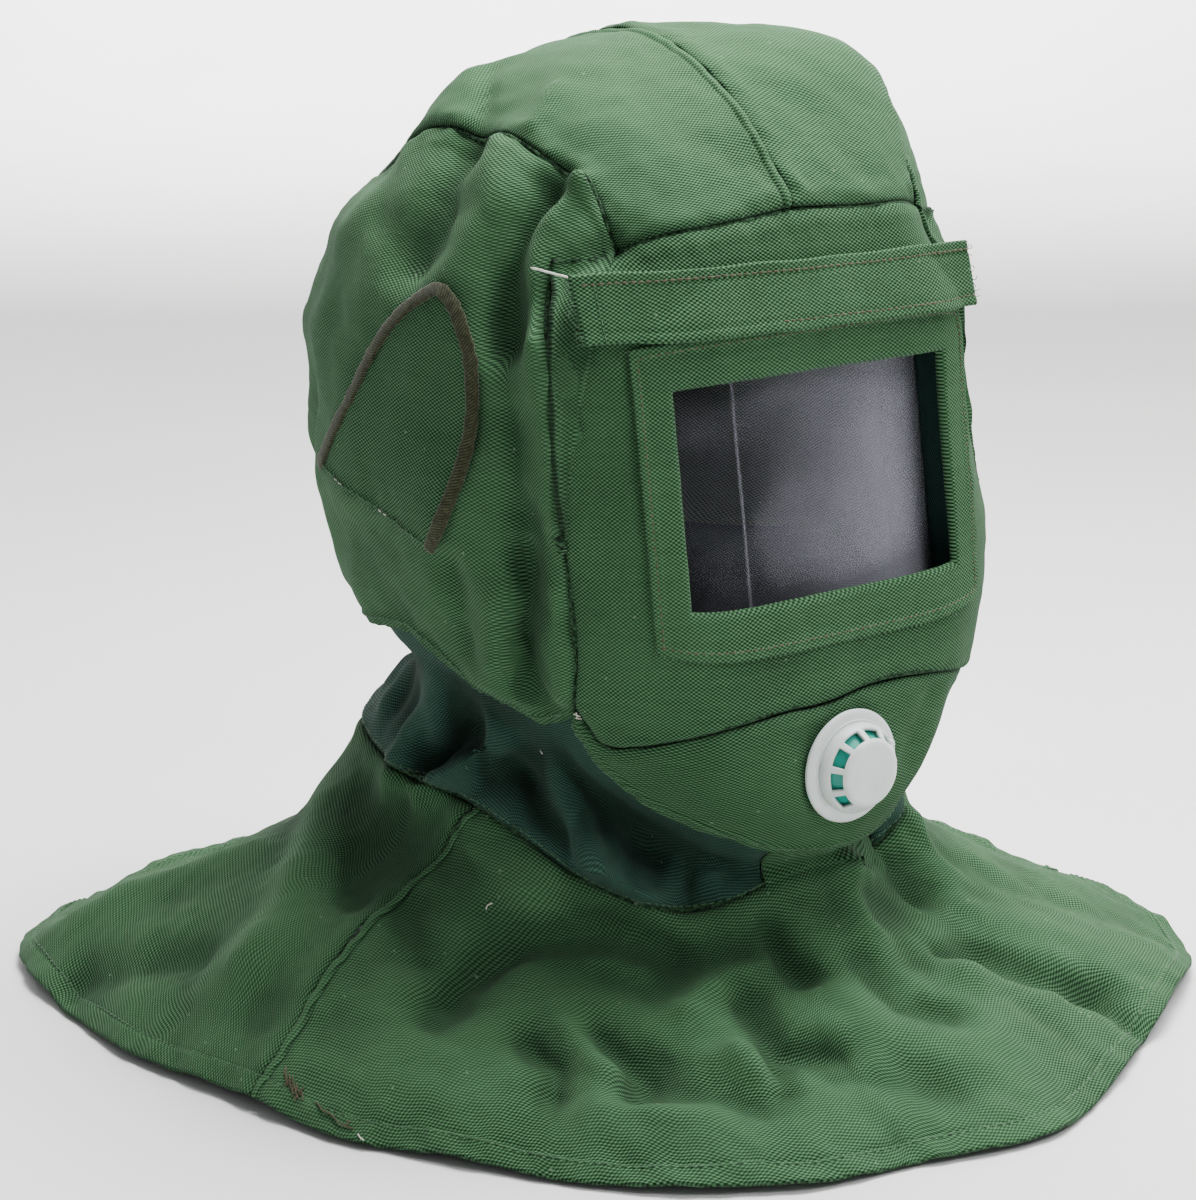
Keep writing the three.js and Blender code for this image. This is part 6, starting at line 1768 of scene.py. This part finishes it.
tack = []
for start, share in zip(np.linspace(-70.6, -67.4, 17), np.linspace(1.925, 1.945, 17)):
    slant = dice.uniform(0.25, 0.6)
    middle = share + dice.uniform(-0.006, 0.006)
    tack.append([on_cape(start - slant, middle - 0.012), on_cape(start, middle, dice.uniform(0.7, 1.3)),
                 on_cape(start + slant, middle + 0.012)])
for lift in (0.4, 0.8):
    tack.append([on_cape(turn, share, lift + dice.uniform(0, 0.5)) for turn, share in
                 ((-65.6, 1.945), (-64.4, 1.955), (-63.2, 1.958), (-62, 1.968), (-60.8, 1.972), (-60.2, 1.976))])
tack.append([on_cape(-61.2, 1.958, 0.8), on_cape(-60.9, 1.966, 1.4), on_cape(-61.3, 1.974, 0.5)])
bar_tack = strands("brown_bar_tack", tack, 0.32, brown_thread)
chin_corner = seam("chin_seam")[0]
knot = [[near_piece("chin_cloth", chin_corner + np.array(a), 0.6), near_piece("chin_cloth", chin_corner + np.array(b), 1.5)]
        for a, b in (((1, 1, -4), (-1, 2, -1)), ((3, 2, -5), (0, 2, -4)), ((-1, 0, -2), (2, 2, -3)))]
lint = [[on_cape(-59, 1.12, 0.3), on_cape(-59.4, 1.127, 0.9), on_cape(-59.2, 1.137, 0.4)],
        [on_cape(-59.6, 1.985, 0.3), on_cape(-59.2, 1.992, 0.9), on_cape(-58.9, 1.998, 0.4)],
        [on_cape(-58, 0.42, 0.3, "collar_band"), on_cape(-57.4, 0.43, 0.8, "collar_band"), on_cape(-57.2, 0.45, 0.3, "collar_band")]]
white_bits = strands("white_thread_bits", [[*line[:1], sum(line) / len(line), *line[-1:]] for line in knot] + lint, 0.3,
                     white_thread)
print("bar tack", len(bar_tack.data.polygons), "faces; white bits", len(white_bits.data.polygons), "faces")

# %% [markdown]
# ## A pale floor and soft light
# The stage is plain: a pale sheet that curves up behind, a big soft light from the upper right of the
# picture, a weaker one from the left, and a light sky all round.

# %% Stage and lights
def stage():
    floor = min(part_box(name)[0][2] for name in ("cape_front", "cape_back")) - 0.001
    rows = []
    for k in range(40):
        t = k / 39
        if t < 0.5:
            rows.append((-5 + t * 2 * 8.0, floor))
        else:
            a = (t - 0.5) * math.pi
            rows.append((3.0 + 2.2 * math.sin(a), floor + 2.2 * (1 - math.cos(a))))
    rows += [(5.2, floor + 2.2 + h) for h in (1.0, 3.0, 6.0)]
    turn = Vector((math.sin(CAMERA_TURN), math.cos(CAMERA_TURN)))
    points, faces = [], []
    for far, high in rows:
        for k in range(9):
            wide = -9 + 18 * k / 8
            points.append((-turn.x * far + turn.y * wide, turn.y * far + turn.x * wide, high))
    for i in range(len(rows) - 1):
        for k in range(8):
            a = i * 9 + k
            faces.append([a, a + 1, a + 10, a + 9])
    paper, tree, body = blank_material("pale paper sweep", "#f4f4f3", 0.85)
    place = node(tree, "ShaderNodeTexCoord").outputs["Object"]
    tree.links.new(ramp(tree, noise(tree, place, 3.0, 2.0), [(0.3, "#f1f1f0"), (0.7, "#f7f7f6")]), body.inputs["Base Color"])
    sweep = piece("paper_sweep", np.array(points), faces, material=paper)
    return sweep


def soft_light(name, turn, rise, away, size, power, colour="#ffffff"):
    data = bpy.data.lights.new(name, "AREA")
    data.shape, data.size, data.energy, data.color = "DISK", size, power, srgb(colour)[:3]
    made = bpy.data.objects.new(name, data)
    a, e = CAMERA_TURN + math.radians(turn), math.radians(rise)
    back = Vector((math.sin(a) * math.cos(e), -math.cos(a) * math.cos(e), math.sin(e)))
    made.location = looked_at + back * away
    made.rotation_euler = back.to_track_quat("Z", "Y").to_euler()
    bpy.context.collection.objects.link(made)


stage()
soft_light("key light", 100, 62, 1.6, 0.8, 22)
soft_light("top light", 140, 78, 1.15, 0.7, 32)
soft_light("front light", 45, 45, 1.8, 0.7, 10.5)
soft_light("left edge light", -135, 35, 2.6, 0.6, 4)
lamp = bpy.data.lights.new("backdrop light", "AREA")
lamp.shape, lamp.size, lamp.energy = "DISK", 3.0, 700
lit = bpy.data.objects.new("backdrop light", lamp)
lit.location = (1.4, 1.9, 2.6)
lit.rotation_euler = Vector((-0.5, -0.72, 0.2)).to_track_quat("Z", "Y").to_euler()
bpy.context.collection.objects.link(lit)
sky = bpy.data.worlds.new("studio sky")
sky.use_nodes = True
sky.node_tree.nodes["Background"].inputs["Color"].default_value = srgb("#f7f8fa")
sky.node_tree.nodes["Background"].inputs["Strength"].default_value = 0.3
bpy.context.scene.world = sky

# %% [markdown]
# ## Bodies, replaced solids and sheets of cloth
# The part has no joints, so every piece rides on its one body. Each fine piece stands for the plain solid
# that it was made over. For every panel, the width, length and area of the flat cut it was sewn from are printed.

# %% Riding and replacing
STANDS_FOR = {
    "crown_right_cloth": "crown_right", "crown_left_cloth": "crown_left", "side_right_cloth": "side_right",
    "side_left_cloth": "side_left", "face_cloth": "face_panel", "lens_frame_cloth": "lens_frame",
    "chin_cloth": "chin_panel", "brow_strip_cloth": "brow_strip", "lens_sheet": "lens",
    "sleeve_painted_shade_cloth": "lens_holder", "valve_flange_ring": "valve_flange", "valve_cap_shell": "valve_cap",
    "valve_disc": "valve_diaphragm", "ear_flap_right_cloth": "ear_flap_right",
    "ear_flap_left_cloth": "ear_flap_left", "ear_binding_right_tape": "ear_binding_right",
    "ear_binding_left_tape": "ear_binding_left", "collar_band": "collar", "cape_front_cloth": "cape_front",
    "cape_back_cloth": "cape_back",
}
body = list(frame["bodies"])[0] if frame["bodies"] else "root"
for name, solid in STANDS_FOR.items():
    made = bpy.data.objects[name]
    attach(made, body)
    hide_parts(solid)
for made in (clips, allowances, white_end, fray, bar_tack, white_bits, *sewn):
    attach(made, body)


# %% Sheets of cloth
def cut_size(net):
    """Width, length and area of the flat cut that a net was sewn from, in metres."""
    run = border_distances(net)
    wide, long = float(run[2][:, -1].max()) * MM, float(run[0][-1].max()) * MM
    cells = np.cross(net[1:, 1:] - net[:-1, :-1], net[:-1, 1:] - net[1:, :-1])
    area = float(np.linalg.norm(cells, axis=-1).sum() / 2) * MM**2
    return (round(wide, 4), round(max(long, area / wide * 1.0005), 4)), area


HELD_BY = {"crown_right_cloth": ("stretched", ["side_right_cloth"]), "crown_left_cloth": ("stretched", ["side_left_cloth"]),
           "side_right_cloth": ("hung", ["crown_right_cloth"]), "side_left_cloth": ("hung", ["crown_left_cloth"]),
           "face_cloth": ("stretched", ["side_right_cloth", "side_left_cloth"]),
           "lens_frame_cloth": ("laid", ["face_cloth"]), "chin_cloth": ("hung", ["face_cloth"]),
           "brow_strip_cloth": ("folded", ["face_cloth"]), "ear_flap_right_cloth": ("laid", ["side_right_cloth"]),
           "ear_flap_left_cloth": ("laid", ["side_left_cloth"]), "collar_band": ("hung", ["chin_cloth"]),
           "cape_front_cloth": ("draped", ["collar_band"]), "cape_back_cloth": ("draped", ["collar_band"])}
for name, (held, on) in HELD_BY.items():
    made, net = made_pieces[name][:2]
    flat, area = cut_size(net[39:] if name == "cape_front_cloth" else net)
    share = area / (flat[0] * flat[1])
    print(name, "flat", flat, "area", round(area, 4))
